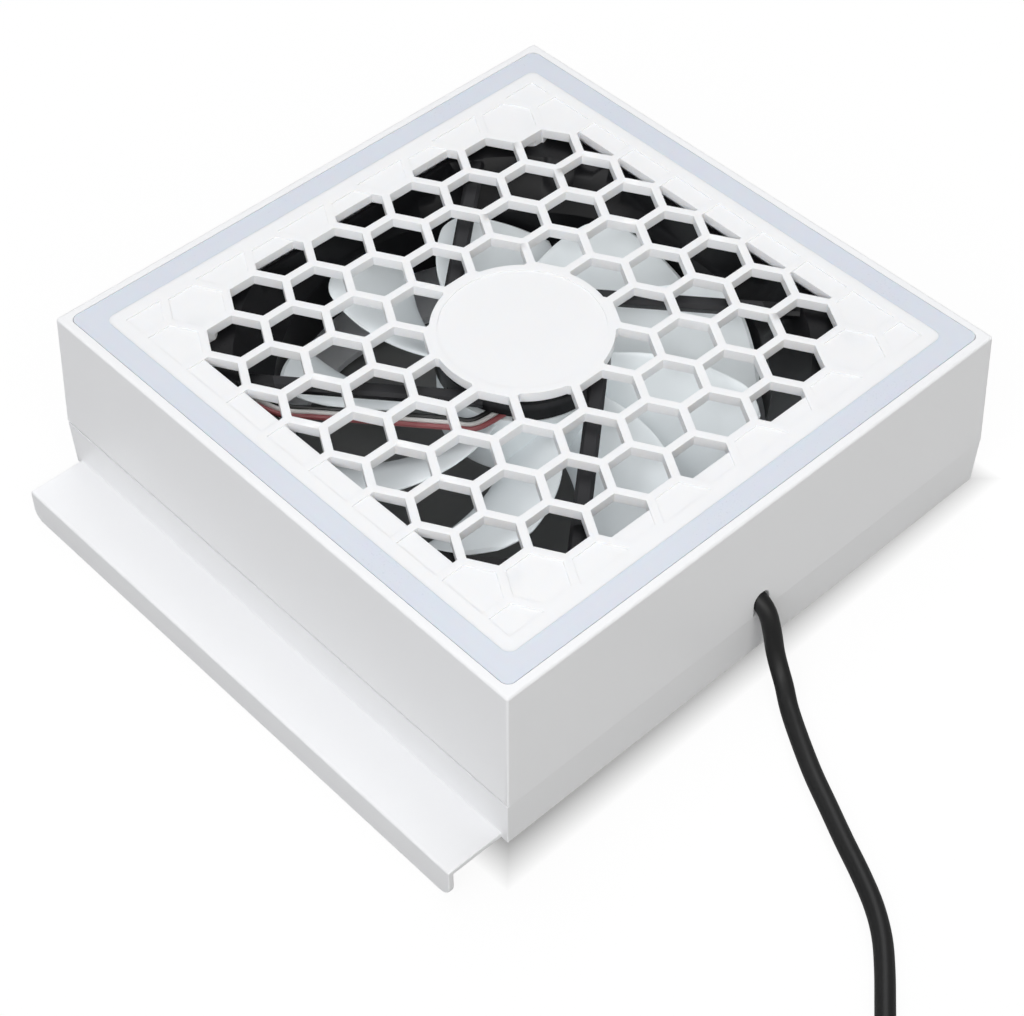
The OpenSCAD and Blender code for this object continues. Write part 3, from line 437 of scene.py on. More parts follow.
def frame_plastic(name, smooth, painted_lit_top_colour, satin_and_painted_light_low, satin_and_painted_light_high, satin_and_painted_light_r):
    """Black plastic that is smooth in the duct and satin on the struts and the motor base. Its colour is
    painted: lighter on the tops of the struts and the motor base as a painted highlight, darker in the duct
    as painted shade.
    """
    material, field = new_shader(name)
    grain, grain_depth, least_grain, cloud_share = 0.3 * MM, 0.014 * MM, 0.3, 0.25
    smooth_rough, satin_rough, shine = 0.3, 0.2, 0.15
    cloud, fine = mould_marks(field, grain)
    x, y, height = field.node("ShaderNodeTexCoord", output="Object").split()
    x, y = x - axle.x, y - axle.y
    # This share sets the satin roughness and also the painted highlight's lighter colour on the tops.
    share = (x * x + y * y < satin_and_painted_light_r ** 2) * field.node("ShaderNodeMapRange", {}, {
        "Value": height, "From Min": satin_and_painted_light_low, "From Max": satin_and_painted_light_high})
    surface(field, {
        "Base Color": blend(field, cloud_share * cloud + (1 - cloud_share) * share, smooth, painted_lit_top_colour),
        "Roughness": smooth_rough + satin_rough * share + gloss_by_grain * (fine - 0.5),
        "Specular IOR Level": shine}, fine * (least_grain + (1 - least_grain) * share), grain_depth)
    return material


# The two colours of the black plastic are lit and shaded copies: a painted highlight on the tops and painted
# shade in the duct.
frame_top, frame_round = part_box("fan_frame")[1].z, 0.4 * MM
satin_and_painted_light_low, satin_and_painted_light_high, satin_and_painted_light_r = frame_top - 2.4 * MM, frame_top - 1.2 * MM, 57.5 * MM
fan_black = frame_plastic("fan_black", (0.006, 0.006, 0.007), (0.034, 0.034, 0.037),
                          satin_and_painted_light_low, satin_and_painted_light_high, satin_and_painted_light_r)
moulding("fan_body", "fan_frame", fan_black, "fan_black", (frame_round, 2, long_edge))


# Motor: a bronze sleeve in the bearing tube, a stack of steel sheets with four wound arms, and a
# steel yoke with a ferrite ring that turn with the hub.
def turned_metal(name, colour, shade, roughness, stretch):
    """Bare metal with the fine lines of its drawing, stamping or turning."""
    lines_per_metre, line_detail, gloss_by_line, line_depth = 250.0, 2.0, 0.15, 0.0008 * MM
    material, field = new_shader(name)
    lines = noise(field, lines_per_metre, line_detail, stretch)
    surface(field, {"Base Color": blend(field, lines, colour, shade), "Metallic": 1.0,
                    "Roughness": roughness + gloss_by_line * (lines - 0.5)}, lines, line_depth)
    return material


core_steel = turned_metal("core_steel", (0.42, 0.42, 0.44), (0.55, 0.55, 0.56), 0.38, (1, 1, 12))
bronze = turned_metal("bronze", (0.52, 0.33, 0.15), (0.62, 0.42, 0.22), 0.42, (1, 1, 1))
copper = turned_metal("copper", (0.58, 0.24, 0.10), (0.68, 0.32, 0.15), 0.3, (1, 1, 6))
ferrite = moulded_plastic("ferrite", (0.03, 0.03, 0.032), (0.05, 0.05, 0.052), 0.6, 0.15 * MM, 0.01 * MM)
dress(core_steel, "stator_core", "rotor_yoke", "rotor_shaft", "shaft_clip")
dress(bronze, "sleeve_bearing")
dress(copper, "stator_coils")
dress(ferrite, "rotor_magnet")


# Rotor: hub and nine swept blades in one moulding of milky plastic. The blades are low at their
# leading edges, and the hub is a cup that hides the yoke and the magnet.
def lathe(profile, axis, steps=96):
    """A closed shape turned about a vertical axis from its (radius, height) outline."""
    shape = bmesh.new()
    rings = []
    for r, z in profile:
        turns = steps if r > 0 else 1
        rings.append([shape.verts.new((axis.x + r * math.cos(2 * math.pi * k / steps),
                                       axis.y + r * math.sin(2 * math.pi * k / steps), z))
                      for k in range(turns)])
    for a, b in zip(rings, rings[1:]):
        for k in range(steps):
            corners = [a[k % len(a)], a[(k + 1) % len(a)], b[(k + 1) % len(b)], b[k % len(b)]]
            shape.faces.new(list(dict.fromkeys(corners)))
    bmesh.ops.recalc_face_normals(shape, faces=shape.faces)
    return shape


hub_r, hub_wall, hub_round, hub_rise = 20 * MM, 1.5 * MM, 1.4 * MM, 17.4 * MM
boss_r, boss_rise, bore_r = 4.23 * MM, 1.6 * MM, 1.5 * MM
hub_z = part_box("rotor_shaft")[0].z - hub_wall / 2
quarter = [math.radians(15 * k) for k in range(7)]
hub_profile = [(0, hub_z)] + [
    (hub_r - hub_round * (1 - math.sin(t)), hub_z + hub_round * (1 - math.cos(t))) for t in quarter] + [
    (hub_r, hub_z + hub_rise), (hub_r - hub_wall, hub_z + hub_rise), (hub_r - hub_wall, hub_z + hub_wall),
    (boss_r, hub_z + hub_wall), (boss_r, hub_z + hub_wall + boss_rise),
    (bore_r, hub_z + hub_wall + boss_rise), (bore_r, hub_z + hub_wall / 2), (0, hub_z + hub_wall / 2)]

# A faint painted glow stands in for the light that the milky plastic passes on, so that its shaded side isn't
# dark.
blade_milk = moulded_plastic("blade_milk", (0.89, 0.94, 0.965), (0.91, 0.955, 0.975), 0.22, 2.0 * MM,
                             0.002 * MM, {"Emission Color": (0.9, 0.96, 1.0, 1), "Emission Strength": 0.06})
blade_sizes = {
    "Root Radius": hub_r - hub_wall / 2, "Tip Radius": 56.2 * MM, "Root Span": math.radians(36),
    "Tip Span": math.radians(30), "Sweep": math.radians(21), "Sweep Curve": 1.3, "Root Rise": 13 * MM,
    "Tip Rise": 13.5 * MM, "Camber": 0.3, "Thickness": 1.8 * MM, "Lowest Edge": 29.4 * MM,
    "First Angle": math.radians(1.5), "Tip Corner": 0.14, "Blades": 9}


def blade_tree(material):
    """Blades whose middle surface follows the rule of the part's source, closed by a lens of thickness."""
    field, size = geometry_tree("bladed_wheel", blade_sizes, ("Blades",))
    rows, columns, corner_start, tip_round, root_round, weld = 41, 33, 0.86, 0.97, 0.02, 0.004 * MM
    sheet = field.node("GeometryNodeMeshGrid", {}, {
        "Size X": 1.0, "Size Y": 1.0, "Vertices X": rows, "Vertices Y": columns})
    u, v, _ = [part + 0.5 for part in field.node("GeometryNodeInputPosition").split()]
    chord = 0.5 - 0.5 * u.maths("COSINE", v * math.pi)
    near_tip = u.maths("MAXIMUM", (u - corner_start) / (1 - corner_start), 0.0)
    trim = size["Tip Corner"] * near_tip ** 2.0
    s = trim + chord * (1 - 2 * trim)
    r = size["Root Radius"] + u * (size["Tip Radius"] - size["Root Radius"])
    span = size["Root Span"] + u * (size["Tip Span"] - size["Root Span"])
    turn = (s - 0.5) * span - size["Sweep"] * u ** size["Sweep Curve"]
    rise = size["Root Rise"] + u * (size["Tip Rise"] - size["Root Rise"])
    z = size["Lowest Edge"] + rise * (s + size["Camber"] * s * (1 - s))
    past_tip = u.maths("MAXIMUM", (u - tip_round) / (1 - tip_round), 0.0)
    before_root = u.maths("MAXIMUM", (root_round - u) / root_round, 0.0)
    lens = ((1 - (2 * chord - 1) ** 4.0) * (1 - past_tip ** 2.0) * (1 - before_root ** 2.0)) ** 0.5
    half = 0.5 * size["Thickness"] * lens
    x, y = r * u.maths("COSINE", turn), r * u.maths("SINE", turn)
    skins = []
    for side in (1, -1):
        skin = field.node("GeometryNodeSetPosition", {}, {
            "Geometry": sheet, "Position": xyz(field, x, y, z + side * half)})
        skins.append(skin if side > 0 else field.node("GeometryNodeFlipFaces", {}, {"Mesh": skin}))
    blade = field.node("GeometryNodeMergeByDistance", {}, {
        "Geometry": field.node("GeometryNodeJoinGeometry", {}, {0: skins}), "Distance": weld})
    spokes = field.node("GeometryNodeMeshLine", {}, {"Count": size["Blades"], "Offset": (0, 0, 0)})
    index = field.node("GeometryNodeInputIndex")
    wheel = field.node("GeometryNodeInstanceOnPoints", {}, {
        "Points": spokes, "Instance": blade,
        "Rotation": xyz(field, 0.0, 0.0, index * (2 * math.pi) / size["Blades"] + size["First Angle"])})
    wheel = field.node("GeometryNodeTransform", {}, {
        "Geometry": wheel, "Translation": (axle.x, axle.y, 0)})
    return close_tree(field.node("GeometryNodeJoinGeometry", {}, {0: [wheel, field]}), material)


hub_mesh = plain_mesh("hub", lathe(hub_profile, axle), blade_milk)
wheel_mesh = grown("rotor_wheel", hub_mesh, blade_tree(blade_milk), blade_sizes)
soften(wheel_mesh, crease=40)
place("rotor_wheel", wheel_mesh, "rotor", "milky_blade", "rotor")


# Wires: thin insulated leads. Three run from the motor along one strut and round the wall to the
# control board, two come from the cord, and two go up to the light strips.
def at(x, y, z):
    """A point of the part's source, in millimetres about the fan's axle, in the scene."""
    return Vector((x * MM + axle.x, y * MM + axle.y, z * MM))


def beside(path, shift):
    """A path moved to its left by a shift, level."""
    moved = []
    for i, p in enumerate(path):
        way = path[min(i + 1, len(path) - 1)] - path[max(i - 1, 0)]
        moved.append(p + shift * Vector((-way.y, way.x, 0)).normalized())
    return moved


def wire_tree(material):
    """A round wire swept along a smooth curve through the points of a path."""
    step, sides = 1.0 * MM, 14
    field, size = geometry_tree("wire_run", ("Wire Radius",))
    run = field.node("GeometryNodeMeshToCurve", {}, {"Mesh": field})
    run = field.node("GeometryNodeCurveSplineType", {"spline_type": "CATMULL_ROM"}, {"Curve": run})
    run = field.node("GeometryNodeResampleCurve", {"mode": "LENGTH"}, {"Curve": run, "Length": step})
    ring = field.node("GeometryNodeCurvePrimitiveCircle", {}, {
        "Resolution": sides, "Radius": size["Wire Radius"]})
    lead = field.node("GeometryNodeCurveToMesh", {}, {"Curve": run, "Profile Curve": ring, "Fill Caps": True})
    return close_tree(lead, material)


def wire(name, paths, radius, material, slot, *stands_for):
    """One piece of one or more wires of the same colour."""
    points, edges = [], []
    for path in paths:
        edges += [(len(points) + i, len(points) + i + 1) for i in range(len(path) - 1)]
        points += path
    line = bpy.data.meshes.new(name)
    line.from_pydata(points, edges, [])
    mesh = grown(name, line, wire_tree(material), {"Wire Radius": radius})
    soften(mesh, crease=50)
    place(name, mesh, "casing", slot, *stands_for)


def insulation(name, colour, tint):
    """The soft coloured plastic round a wire."""
    return moulded_plastic(name, colour, tint, 0.35, 0.5 * MM, 0.004 * MM)


wire_red = insulation("wire_red", (0.27, 0.07, 0.075), (0.33, 0.09, 0.095))
wire_white = insulation("wire_white", (0.6, 0.59, 0.58), (0.68, 0.67, 0.66))
wire_black = insulation("wire_black", (0.012, 0.012, 0.013), (0.02, 0.02, 0.02))
wire_r, wire_gap = 0.65 * MM, 0.1 * MM
strut_across, strut_w, strut_turn = 18.2, 4.2, math.radians(220.5)
lead_z, lead_off, lead_steps = 45.5, 1.3, (4, 9, 14, 24, 34, 44, 52)
lead_run = []
for along in lead_steps:
    on_base = along == lead_steps[0]
    across = strut_across - lead_off if on_base else strut_across + strut_w / 2 + lead_off
    lead_run.append(at(along * math.cos(strut_turn) - across * math.sin(strut_turn),
                       along * math.sin(strut_turn) + across * math.cos(strut_turn), lead_z))
lead_run += [at(*p) for p in (
    (-37.5, -53.5, 45), (-41, -57.5, 43), (-42.5, -62, 40), (-40.5, -66, 36), (-35, -68.3, 32),
    (-26, -69, 28), (-14, -69, 25), (0, -69, 23.5), (16, -69, 22.6), (32, -69, 22), (46, -68.6, 21.6),
    (54, -67, 21.2), (59.5, -63.6, 20.8), (62.6, -59, 20.5), (64, -54, 20.5))]
lead_pitch = 2 * wire_r + wire_gap
wire("motor_lead_black", [lead_run], wire_r, wire_black, "wire_black", "fan_lead_black")
wire("motor_lead_white", [beside(lead_run, lead_pitch)], wire_r, wire_white, "wire_white", "fan_lead_white")
wire("motor_lead_red", [beside(lead_run, 2 * lead_pitch)], wire_r, wire_red, "wire_red", "fan_lead_red")
core_run = [at(*p) for p in (
    (61.8, 0, 25.2), (60.6, -0.2, 25), (59.4, -1.6, 24.1), (58.7, -4, 23), (58.6, -8, 22),
    (59.5, -14, 21.5), (62, -20, 21), (63.8, -25, 20.6), (64.4, -31, 20.5))]
wire("feed_cores", [beside(core_run, side * (wire_r + wire_gap)) for side in (-1, 1)], wire_r, wire_red,
     "wire_red", "cord_cores")
light_low, light_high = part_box("led_leads")
wire("light_leads", [[Vector((light_low.x + wire_r, y, z)) for z in (light_low.z, light_high.z)]
                     for y in (light_low.y + wire_r, light_high.y - wire_r)], wire_r, wire_white,
     "wire_white", "led_leads")


# Cord clamp: a white bar screwed over the cord on a saddle of the tray, so that a pull on the
# cord doesn't reach its cores.
clamp_round = 0.3 * MM
moulding("clamp_bar", "cord_clamp", casing_white, "casing_white", (clamp_round, 3, long_edge))


# Upper shell: the tall half of the casing, with walls that lean in towards the rim, the trough
# for the lights and an arched notch for the cord. A narrow shadow gap runs round its lower edge,
# where it stands on the tray.
def slab(field, half, low, high):
    """A square block about the middle, between two heights."""
    block = field.node("GeometryNodeMeshCube", {}, {"Size": xyz(field, 2 * half, 2 * half, high - low)})
    return field.node("GeometryNodeTransform", {}, {
        "Geometry": block, "Translation": xyz(field, 0.0, 0.0, 0.5 * (low + high))})


gap_sizes = {
    "Outer Half": 77.1 * MM, "Gap Depth": 0.9 * MM, "Gap Height": 0.34 * MM, "Hook Side Gap": 0.55 * MM,
    "Parting": groove_sizes["Parting"]}


def parting_tree(material):
    """Cuts a shadow gap into the lower outer edge of the shell, higher on the hook's side."""
    field, size = geometry_tree("parting_gap", gap_sizes)
    half, depth, tall, spare = size["Outer Half"], size["Gap Depth"], size["Hook Side Gap"], 1 * MM
    low, high = size["Parting"] - spare, size["Parting"] + size["Gap Height"]
    ring = carved(slab(field, half + spare, low, high), slab(field, half - depth, low - spare, high + spare))
    ring = field.node("GeometryNodeTransform", {}, {"Geometry": ring, "Translation": (axle.x, axle.y, 0)})
    bar = field.node("GeometryNodeMeshCube", {}, {"Size": xyz(
        field, 2 * half + 2 * spare, depth + spare, tall + spare)})
    bar = field.node("GeometryNodeTransform", {}, {"Geometry": bar, "Translation": xyz(
        field, axle.x, 0.5 * (depth - spare) - half + axle.y, size["Parting"] + 0.5 * (tall - spare))})
    return close_tree(carved(field, ring, bar), material)


def outer_edge(middle, length):
    """The long edges on the shell's outer faces, and the lower one over the gap on the hook's side."""
    least, rim_slack, gap_band, gap_slack = 20 * MM, 0.1 * MM, 1 * MM, 0.05 * MM
    above = off_axle(middle) > rim_half - rim_slack and middle.z > gap_sizes["Parting"] + gap_band
    over_gap = middle.z - gap_sizes["Parting"] - gap_sizes["Hook Side Gap"]
    hook_side = axle.y - middle.y > gap_sizes["Outer Half"] - gap_sizes["Gap Depth"] / 2
    return length > least and (above or hook_side and abs(over_gap) < gap_slack)


def any_edge(middle, length):
    """Every sharp edge."""
    return True


rim_half, outer_round, inner_round, least_round = 75.5 * MM, 0.6 * MM, 0.15 * MM, 0.1 * MM
shell_mesh = grown("shell", nodes["upper_shell"].data.copy(), parting_tree(casing_white), gap_sizes)
shell_shape = rounded(shell_mesh, (outer_round, 4, outer_edge), (inner_round, 2, long_edge),
                      (least_round, 2, any_edge))
place("shell", plain_mesh("shell", shell_shape, casing_white), "casing", "casing_white", "upper_shell")


# Lights: four flexible strips with yellow phosphor chips lie in the trough under a milky ring
# that is flush with the rim.
strip_white = moulded_plastic("strip_white", (0.78, 0.77, 0.73), (0.84, 0.83, 0.8), 0.45,
                              0.4 * MM, 0.005 * MM)
chip_yellow = moulded_plastic("chip_yellow", (0.78, 0.64, 0.2), (0.86, 0.74, 0.32), 0.4,
                              0.3 * MM, 0.005 * MM)
dress(strip_white, "led_strips")
dress(chip_yellow, "led_chips")
guide_milk = moulded_plastic("guide_milk", (0.66, 0.695, 0.785), (0.71, 0.74, 0.815), 0.3,
                             0.5 * MM, 0.002 * MM, {"Subsurface Weight": 0.2, "Subsurface Scale": 3 * MM})
moulding("light_ring", "light_guide", guide_milk, "milky_guide")


# Vent panel: the top plate, moulded in the casing's white with hexagon openings, shallow cells
# around them and a bare disc in the middle. It lies inside the light ring, and the fan is
# screwed to four bosses under it.
panel_low, panel_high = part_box("grille_panel")
panel_spread, panel_corner, plate = 0.27 * MM, 2.2 * MM, 2.6 * MM
panel_half = (panel_high.x - panel_low.x) / 2 + panel_spread
panel_sizes = {
    "Cell Pitch": 14.2 * MM, "Rib": 2 * MM, "Vent Half": 59 * MM, "Corner Sum": 100 * MM,
    "Border Half": 64 * MM, "Recess": 0.3 * MM, "Disc Radius": 21.3 * MM, "Disc Rim": 1.8 * MM,
    "Plate": plate, "Boss Pitch": 105 * MM, "Boss Radius": 4.2 * MM, "Boss Height": 1.6 * MM,
    "Pilot Radius": 2 * MM, "Pilot Skin": 0.6 * MM}


def column(field, radius, low, high, sides):
    """A round or many-sided block about the middle, between two heights."""
    return field.node("GeometryNodeTransform", {}, {
        "Geometry": field.node("GeometryNodeMeshCylinder", {}, {
            "Vertices": sides, "Radius": radius, "Depth": high - low}),
        "Translation": xyz(field, 0.0, 0.0, 0.5 * (low + high))})


def overlap(how, *solids):
    """The union or the common part of solids."""
    return solids[0].node("GeometryNodeMeshBoolean", {"operation": how, "solver": "EXACT"}, {
        "Mesh 2": list(solids)})


def blank_plate(half, corner, thickness):
    """A square plate with round corners under the level of its top face."""
    straight = half - corner
    outline = [(sx * straight + corner * math.cos(k * math.pi / 2 + a),
                sy * straight + corner * math.sin(k * math.pi / 2 + a))
               for k, (sx, sy) in enumerate(((1, 1), (-1, 1), (-1, -1), (1, -1))) for a in quarter]
    shape = bmesh.new()
    rings = [[shape.verts.new((x, y, z)) for x, y in outline] for z in (-thickness, 0)]
    shape.faces.new(rings[0][::-1])
    shape.faces.new(rings[1])
    for k in range(len(outline)):
        shape.faces.new((rings[0][k - 1], rings[0][k], rings[1][k], rings[1][k - 1]))
    return shape


def vent_tree(material):
    """Cells on a hexagon lattice: cut through inside the vent, shallow in the border around it.

    A cell on the vent's edge is cut through on one side of that edge and shallow on the other."""
    field, size = geometry_tree("hexagon_vent", panel_sizes)
    pitch, recess, deep = size["Cell Pitch"], size["Recess"], 4 * size["Plate"]
    row, radius = pitch * (math.sqrt(3) / 2), (pitch - size["Rib"]) / math.sqrt(3)
    columns, rows, disc_sides, boss_sides, pilot_sides, pilot_spare = 11, 13, 96, 48, 32, 0.5 * MM

    def copies(points, instance, chosen=True):
        """An instance on each chosen point, as real geometry."""
        made = field.node("GeometryNodeInstanceOnPoints", {}, {
            "Points": points, "Instance": instance, "Selection": chosen})
        return field.node("GeometryNodeRealizeInstances", {}, {0: made})

    lattice = field.node("GeometryNodeMeshGrid", {}, {
        "Size X": pitch * (columns - 1), "Size Y": row * (rows - 1),
        "Vertices X": columns, "Vertices Y": rows})
    x, y, _ = field.node("GeometryNodeInputPosition").split()
    odd = field.maths("MODULO", field.maths("ABSOLUTE", field.maths("ROUND", y / row)), 2.0)
    lattice = field.node("GeometryNodeSetPosition", {}, {
        "Geometry": lattice, "Offset": xyz(field, 0.5 * pitch * odd)})
    x, y = field.maths("ABSOLUTE", x), field.maths("ABSOLUTE", y)
    reach = size["Vent Half"] + 0.5 * radius
    is_open = (x < reach) * (y < reach) * (x + y < size["Corner Sum"])
    whole = size["Vent Half"] - radius
    is_whole = is_open * (x < whole) * (y < whole)

    def cells(low, chosen, half):
        """Hexagons from a height upwards on the chosen points, trimmed to a square."""
        cell = field.node("GeometryNodeTransform", {}, {
            "Geometry": column(field, radius, low, deep, 6), "Rotation": (0, 0, math.pi / 6)})
        return overlap("INTERSECT", copies(lattice, cell, chosen), slab(field, half, -2 * deep, 2 * deep))

    through = carved(cells(-deep, is_open, size["Vent Half"]),
                     column(field, size["Disc Radius"], -2 * deep, 2 * deep, disc_sides))
    shallow = cells(-recess, 1 - is_whole, size["Border Half"])
    dish = column(field, size["Disc Radius"] - size["Disc Rim"], -recess, deep, disc_sides)
    posts = field.node("GeometryNodeMeshGrid", {}, {
        "Size X": size["Boss Pitch"], "Size Y": size["Boss Pitch"], "Vertices X": 2, "Vertices Y": 2})
    under = -size["Plate"] - size["Boss Height"]
    bosses = copies(posts, column(field, size["Boss Radius"], under, -0.5 * size["Plate"], boss_sides))
    pilots = copies(posts, column(field, size["Pilot Radius"], under - pilot_spare,
                                  -recess - size["Pilot Skin"], pilot_sides))
    panel = carved(overlap("UNION", field, bosses), through, shallow, dish, pilots)
    return close_tree(field.node("GeometryNodeTransform", {}, {
        "Geometry": panel, "Translation": (axle.x, axle.y, panel_high.z)}), material)


# The plate is thin, so that a little light comes through to the walls of its cells.
panel_white = moulded_plastic("panel_white", *white_finish, {
    "Subsurface Weight": 0.35, "Subsurface Scale": 1.5 * MM, "Subsurface Radius": (1.0, 0.9, 0.8)})
blank_mesh = plain_mesh("blank_plate", blank_plate(panel_half, panel_corner, plate), panel_white)
vent_mesh = grown("vent_panel", blank_mesh, vent_tree(panel_white), panel_sizes)


def on_shallow_floor(*spots):
    """Whether points lie on the level of the shallow cells' floors."""
    slack = 0.02 * MM
    return all(abs(spot.z - panel_high.z + panel_sizes["Recess"]) < slack for spot in spots)


def inside_border(least):
    """The edges within the panel's border that are longer than a length, not those of a shallow floor."""
    outer_border = 1 * MM

    def chosen(middle, length):
        return (length > least and off_axle(middle) < panel_half - outer_border
                and not on_shallow_floor(middle))
    return chosen


rib_round, corner_round, rib_least = 0.12 * MM, 0.06 * MM, 4 * MM
vent_shape = rounded(vent_mesh, (rib_round, 2, inside_border(rib_least)), (corner_round, 1, inside_border(0)))
place("vent_panel", plain_mesh("vent_panel", vent_shape, panel_white, on_shallow_floor),
      "casing", "casing_white", "grille_panel")


# Screws: dark plated steel with cross recesses. Four join the casing from below, four hold the
# fan to the panel and two hold the clamp bar.
dark_steel = turned_metal("dark_steel", (0.16, 0.16, 0.17), (0.24, 0.24, 0.25), 0.35, (1, 1, 4))
screw_labels = ("Head Radius", "Head Height", "Shank Radius", "Length", "Turn")


def screw_tree(material):
    """Cross-head screws on the points of a mesh, from the outer face of each head."""
    field, size = geometry_tree("cross_head_screws", screw_labels)
    head_r, head_h, head_sides, shank_sides = size["Head Radius"], size["Head Height"], 32, 24
    head = column(field, head_r, 0.0, head_h, head_sides)
    shank = column(field, size["Shank Radius"], 0.5 * head_h, size["Length"], shank_sides)
    wide, narrow, depth = 1.25 * head_r, 0.3 * head_r, 1.2 * head_h
    cross = [field.node("GeometryNodeMeshCube", {}, {"Size": xyz(field, a, b, depth)})
             for a, b in ((wide, narrow), (narrow, wide))]
    screw = carved(overlap("UNION", head, shank), *cross)
    return close_tree(field.node("GeometryNodeInstanceOnPoints", {}, {
        "Points": field, "Instance": screw, "Rotation": xyz(field, size["Turn"])}), material)


def screws(name, node, head_r, head_h, shank_r, upward=True):
    """The screws of one CAD node, with their heads at its lower or upper end."""
    screw_round = 0.12 * MM
    low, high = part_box(node)
    face, length = low.z if upward else high.z, high.z - low.z
    spots = {(round(x, 6), round(y, 6), face) for x in (low.x + head_r, high.x - head_r)
             for y in (low.y + head_r, high.y - head_r)}
    points = bpy.data.meshes.new(name)
    points.from_pydata(sorted(spots), [], [])
    mesh = grown(name, points, screw_tree(dark_steel), dict(zip(
        screw_labels, (head_r, head_h, shank_r, length, 0.0 if upward else math.pi))))
    place(name, plain_mesh(name, rounded(mesh, (screw_round, 2, any_edge)), dark_steel),
          "casing", "dark_steel", node)


screws("casing_screws", "case_screws", 2.4 * MM, 1.8 * MM, 1.25 * MM)
screws("flange_screws", "fan_screws", 3.6 * MM, 2.2 * MM, 1.9 * MM)
screws("clamp_bar_screws", "clamp_screws", 1.9 * MM, 1.2 * MM, 1.0 * MM, upward=False)


# Power cord: a round black lead of about a metre. It leaves the notch, falls to the floor and
# runs off to the right, where the rest of it lies in a tied coil with its plug.
cord_black = moulded_plastic("cord_black", (0.008, 0.008, 0.0085), (0.013, 0.013, 0.0135), 0.42,
                             0.25 * MM, 0.01 * MM, {"Specular IOR Level": 0.3})
cord_d, coil_gap, coil_turns, coil_mid, coil_low = 4.4, 0.6, 5.25, 48.4, 2.9
coil_x, coil_y, coil_start = 209, -59, math.radians(-137)
coil_pitch = cord_d + coil_gap
coil_out = coil_mid / 2 + coil_turns / 4 * coil_pitch
coil_in = coil_out - coil_turns / 2 * coil_pitch


def on_floor(x, y, z):
    """A point in millimetres over the level floor of the part's source, put over the leaning floor."""
    back = y * MM + axle.y - rest_line
    return Vector((x * MM, back * math.cos(rest_tilt) - z * MM * math.sin(rest_tilt) + rest_line,
                   back * math.sin(rest_tilt) + z * MM * math.cos(rest_tilt)))


def coil_point(t):
    """The coil's line after t turns: in on the lower layer, up at the middle, out on the upper one."""
    angle = coil_start + 2 * math.pi * t
    radius = coil_in + abs(t - coil_turns / 2) * coil_pitch
    height = coil_low + coil_pitch * min(1, max(0, (t - coil_turns / 2) * 2 + 0.5))
    return (coil_x + radius * math.cos(angle), coil_y + radius * math.sin(angle), height)


def coil_entry(before):
    """A point on the straight run into the coil, a number of cord diameters before its start."""
    x, y, z = coil_point(0)
    angle = coil_start + math.pi / 2
    return (x - before * cord_d * math.cos(angle), y - before * cord_d * math.sin(angle), z)


def smooth(points, step=1.5 * MM):
    """Points of a smooth curve through a path's points, about a step apart."""
    line = []
    for i in range(len(points) - 1):
        a, b = points[max(i - 1, 0)], points[i]
        c, d = points[i + 1], points[min(i + 2, len(points) - 1)]
        count = max(1, round((c - b).length / step))
        for k in range(count):
            t = k / count
            line.append(0.5 * (2 * b + (c - a) * t + (2 * a - 5 * b + 4 * c - d) * t * t
                               + (3 * b - a - 3 * c + d) * t ** 3))
    return line + [points[-1]]


cord_drop = [at(*p) for p in (
    (62, 0, 25.2), (66, 0, 25.2), (71.5, 0, 25.2), (74.5, 0, 25), (77, 0, 24), (79, 0, 22.2),
    (80.4, -0.2, 19.7), (81.6, -0.4, 16.6), (83.2, -1, 13.2), (85.4, -1.8, 10.3), (88.4, -3.2, 8))]
cord_lay = [on_floor(x, y, cord_d / 2) for x, y in (
    (93, -6), (100, -10.4), (108, -15), (116, -19), (124, -23), (132, -26.8), (139, -30.6), (145, -35),
    (150.4, -40.4), (156.4, -47.2), (163.4, -55.2), (170.4, -62.8))]
steps_per_turn = 40
coil_steps = round(coil_turns * steps_per_turn)
coil_run = [on_floor(*coil_entry(3)), on_floor(*coil_entry(1))] + [
    on_floor(*coil_point(coil_turns * k / coil_steps)) for k in range(coil_steps + 1)]
plug_x, plug_y, _ = coil_point(coil_turns)
plug_turn = coil_start + 2 * math.pi * coil_turns + math.pi / 2
tail_run = [on_floor(plug_x + along * math.cos(plug_turn), plug_y + along * math.sin(plug_turn), height)
            for along, height in ((4.6, 7.9), (12, 7.4), (20, 6), (28, 4.6), (36, 4), (44, 4))]
cord_line = smooth(cord_drop + cord_lay + coil_run + tail_run)
cord_curve = bpy.data.curves.new("power_lead", "CURVE")
cord_curve.dimensions, cord_curve.bevel_depth, cord_curve.bevel_resolution = "3D", cord_d * MM / 2, 5
cord_curve.use_fill_caps = True
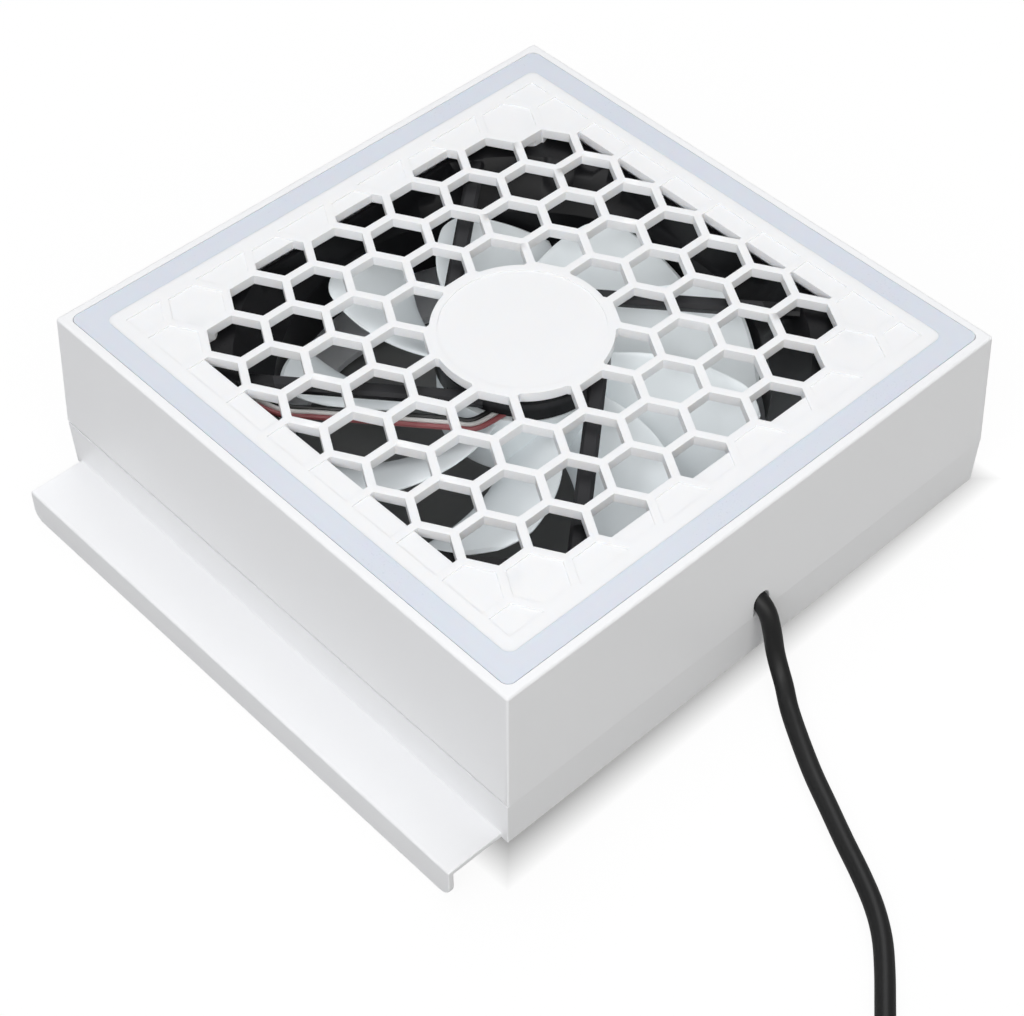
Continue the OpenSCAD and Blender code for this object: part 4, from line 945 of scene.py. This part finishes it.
spline = cord_curve.splines.new("POLY")
spline.points.add(len(cord_line) - 1)
for point, spot in zip(spline.points, cord_line):
    point.co = (*spot, 1)
spline.use_smooth = True
cord_curve.materials.append(cord_black)
power_lead = place("power_lead", cord_curve, "casing", "cord_black", "power_cord", "cord_coil", "cord_tail")

tie_turn, tie_half, tie_wall, tie_room, tie_lift, tie_steps = coil_start + math.pi, 2.5, 0.6, 0.3, 0.02, 72
strands = []
for turn in range(int(coil_turns)):
    x, y, z = coil_point(turn + 0.5)
    strands.append(Vector((math.hypot(x - coil_x, y - coil_y), z)))
band, rings = bmesh.new(), []
for room, along in ((tie_room, -tie_half), (tie_room, tie_half),
                    (tie_room + tie_wall, tie_half), (tie_room + tie_wall, -tie_half)):
    ring = []
    for step in range(tie_steps):
        way = Vector((math.cos(2 * math.pi * step / tie_steps), math.sin(2 * math.pi * step / tie_steps)))
        out, height = max(strands, key=way.dot) + (cord_d / 2 + room) * way
        ring.append(band.verts.new(on_floor(
            coil_x + out * math.cos(tie_turn) - along * math.sin(tie_turn),
            coil_y + out * math.sin(tie_turn) + along * math.cos(tie_turn),
            max(height, tie_wall + tie_room - room + tie_lift))))
    rings.append(ring)
for a, b in zip(rings, rings[1:] + rings[:1]):
    for k in range(tie_steps):
        band.faces.new((a[k - 1], a[k], b[k], b[k - 1]))
bmesh.ops.recalc_face_normals(band, faces=band.faces)
tie_band = place("tie_band", plain_mesh("tie_band", band, cord_black), "casing", "tie_black", "cord_tie")
grip_round, case_round, insert_round = 0.9 * MM, 0.1 * MM, 0.15 * MM
plug_body = moulding("plug_body", "plug_grip", cord_black, "cord_black", (grip_round, 4, long_edge))
nickel = turned_metal("nickel", (0.48, 0.48, 0.49), (0.55, 0.55, 0.56), 0.42, (1, 1, 3))
plug_case = moulding("plug_case", "plug_shell", nickel, "plug_steel", (case_round, 2, any_edge))
plug_insert = moulding("plug_insert", "plug_tongue", wire_white, "wire_white", (insert_round, 2, any_edge))
at(77.1, 0, 24)
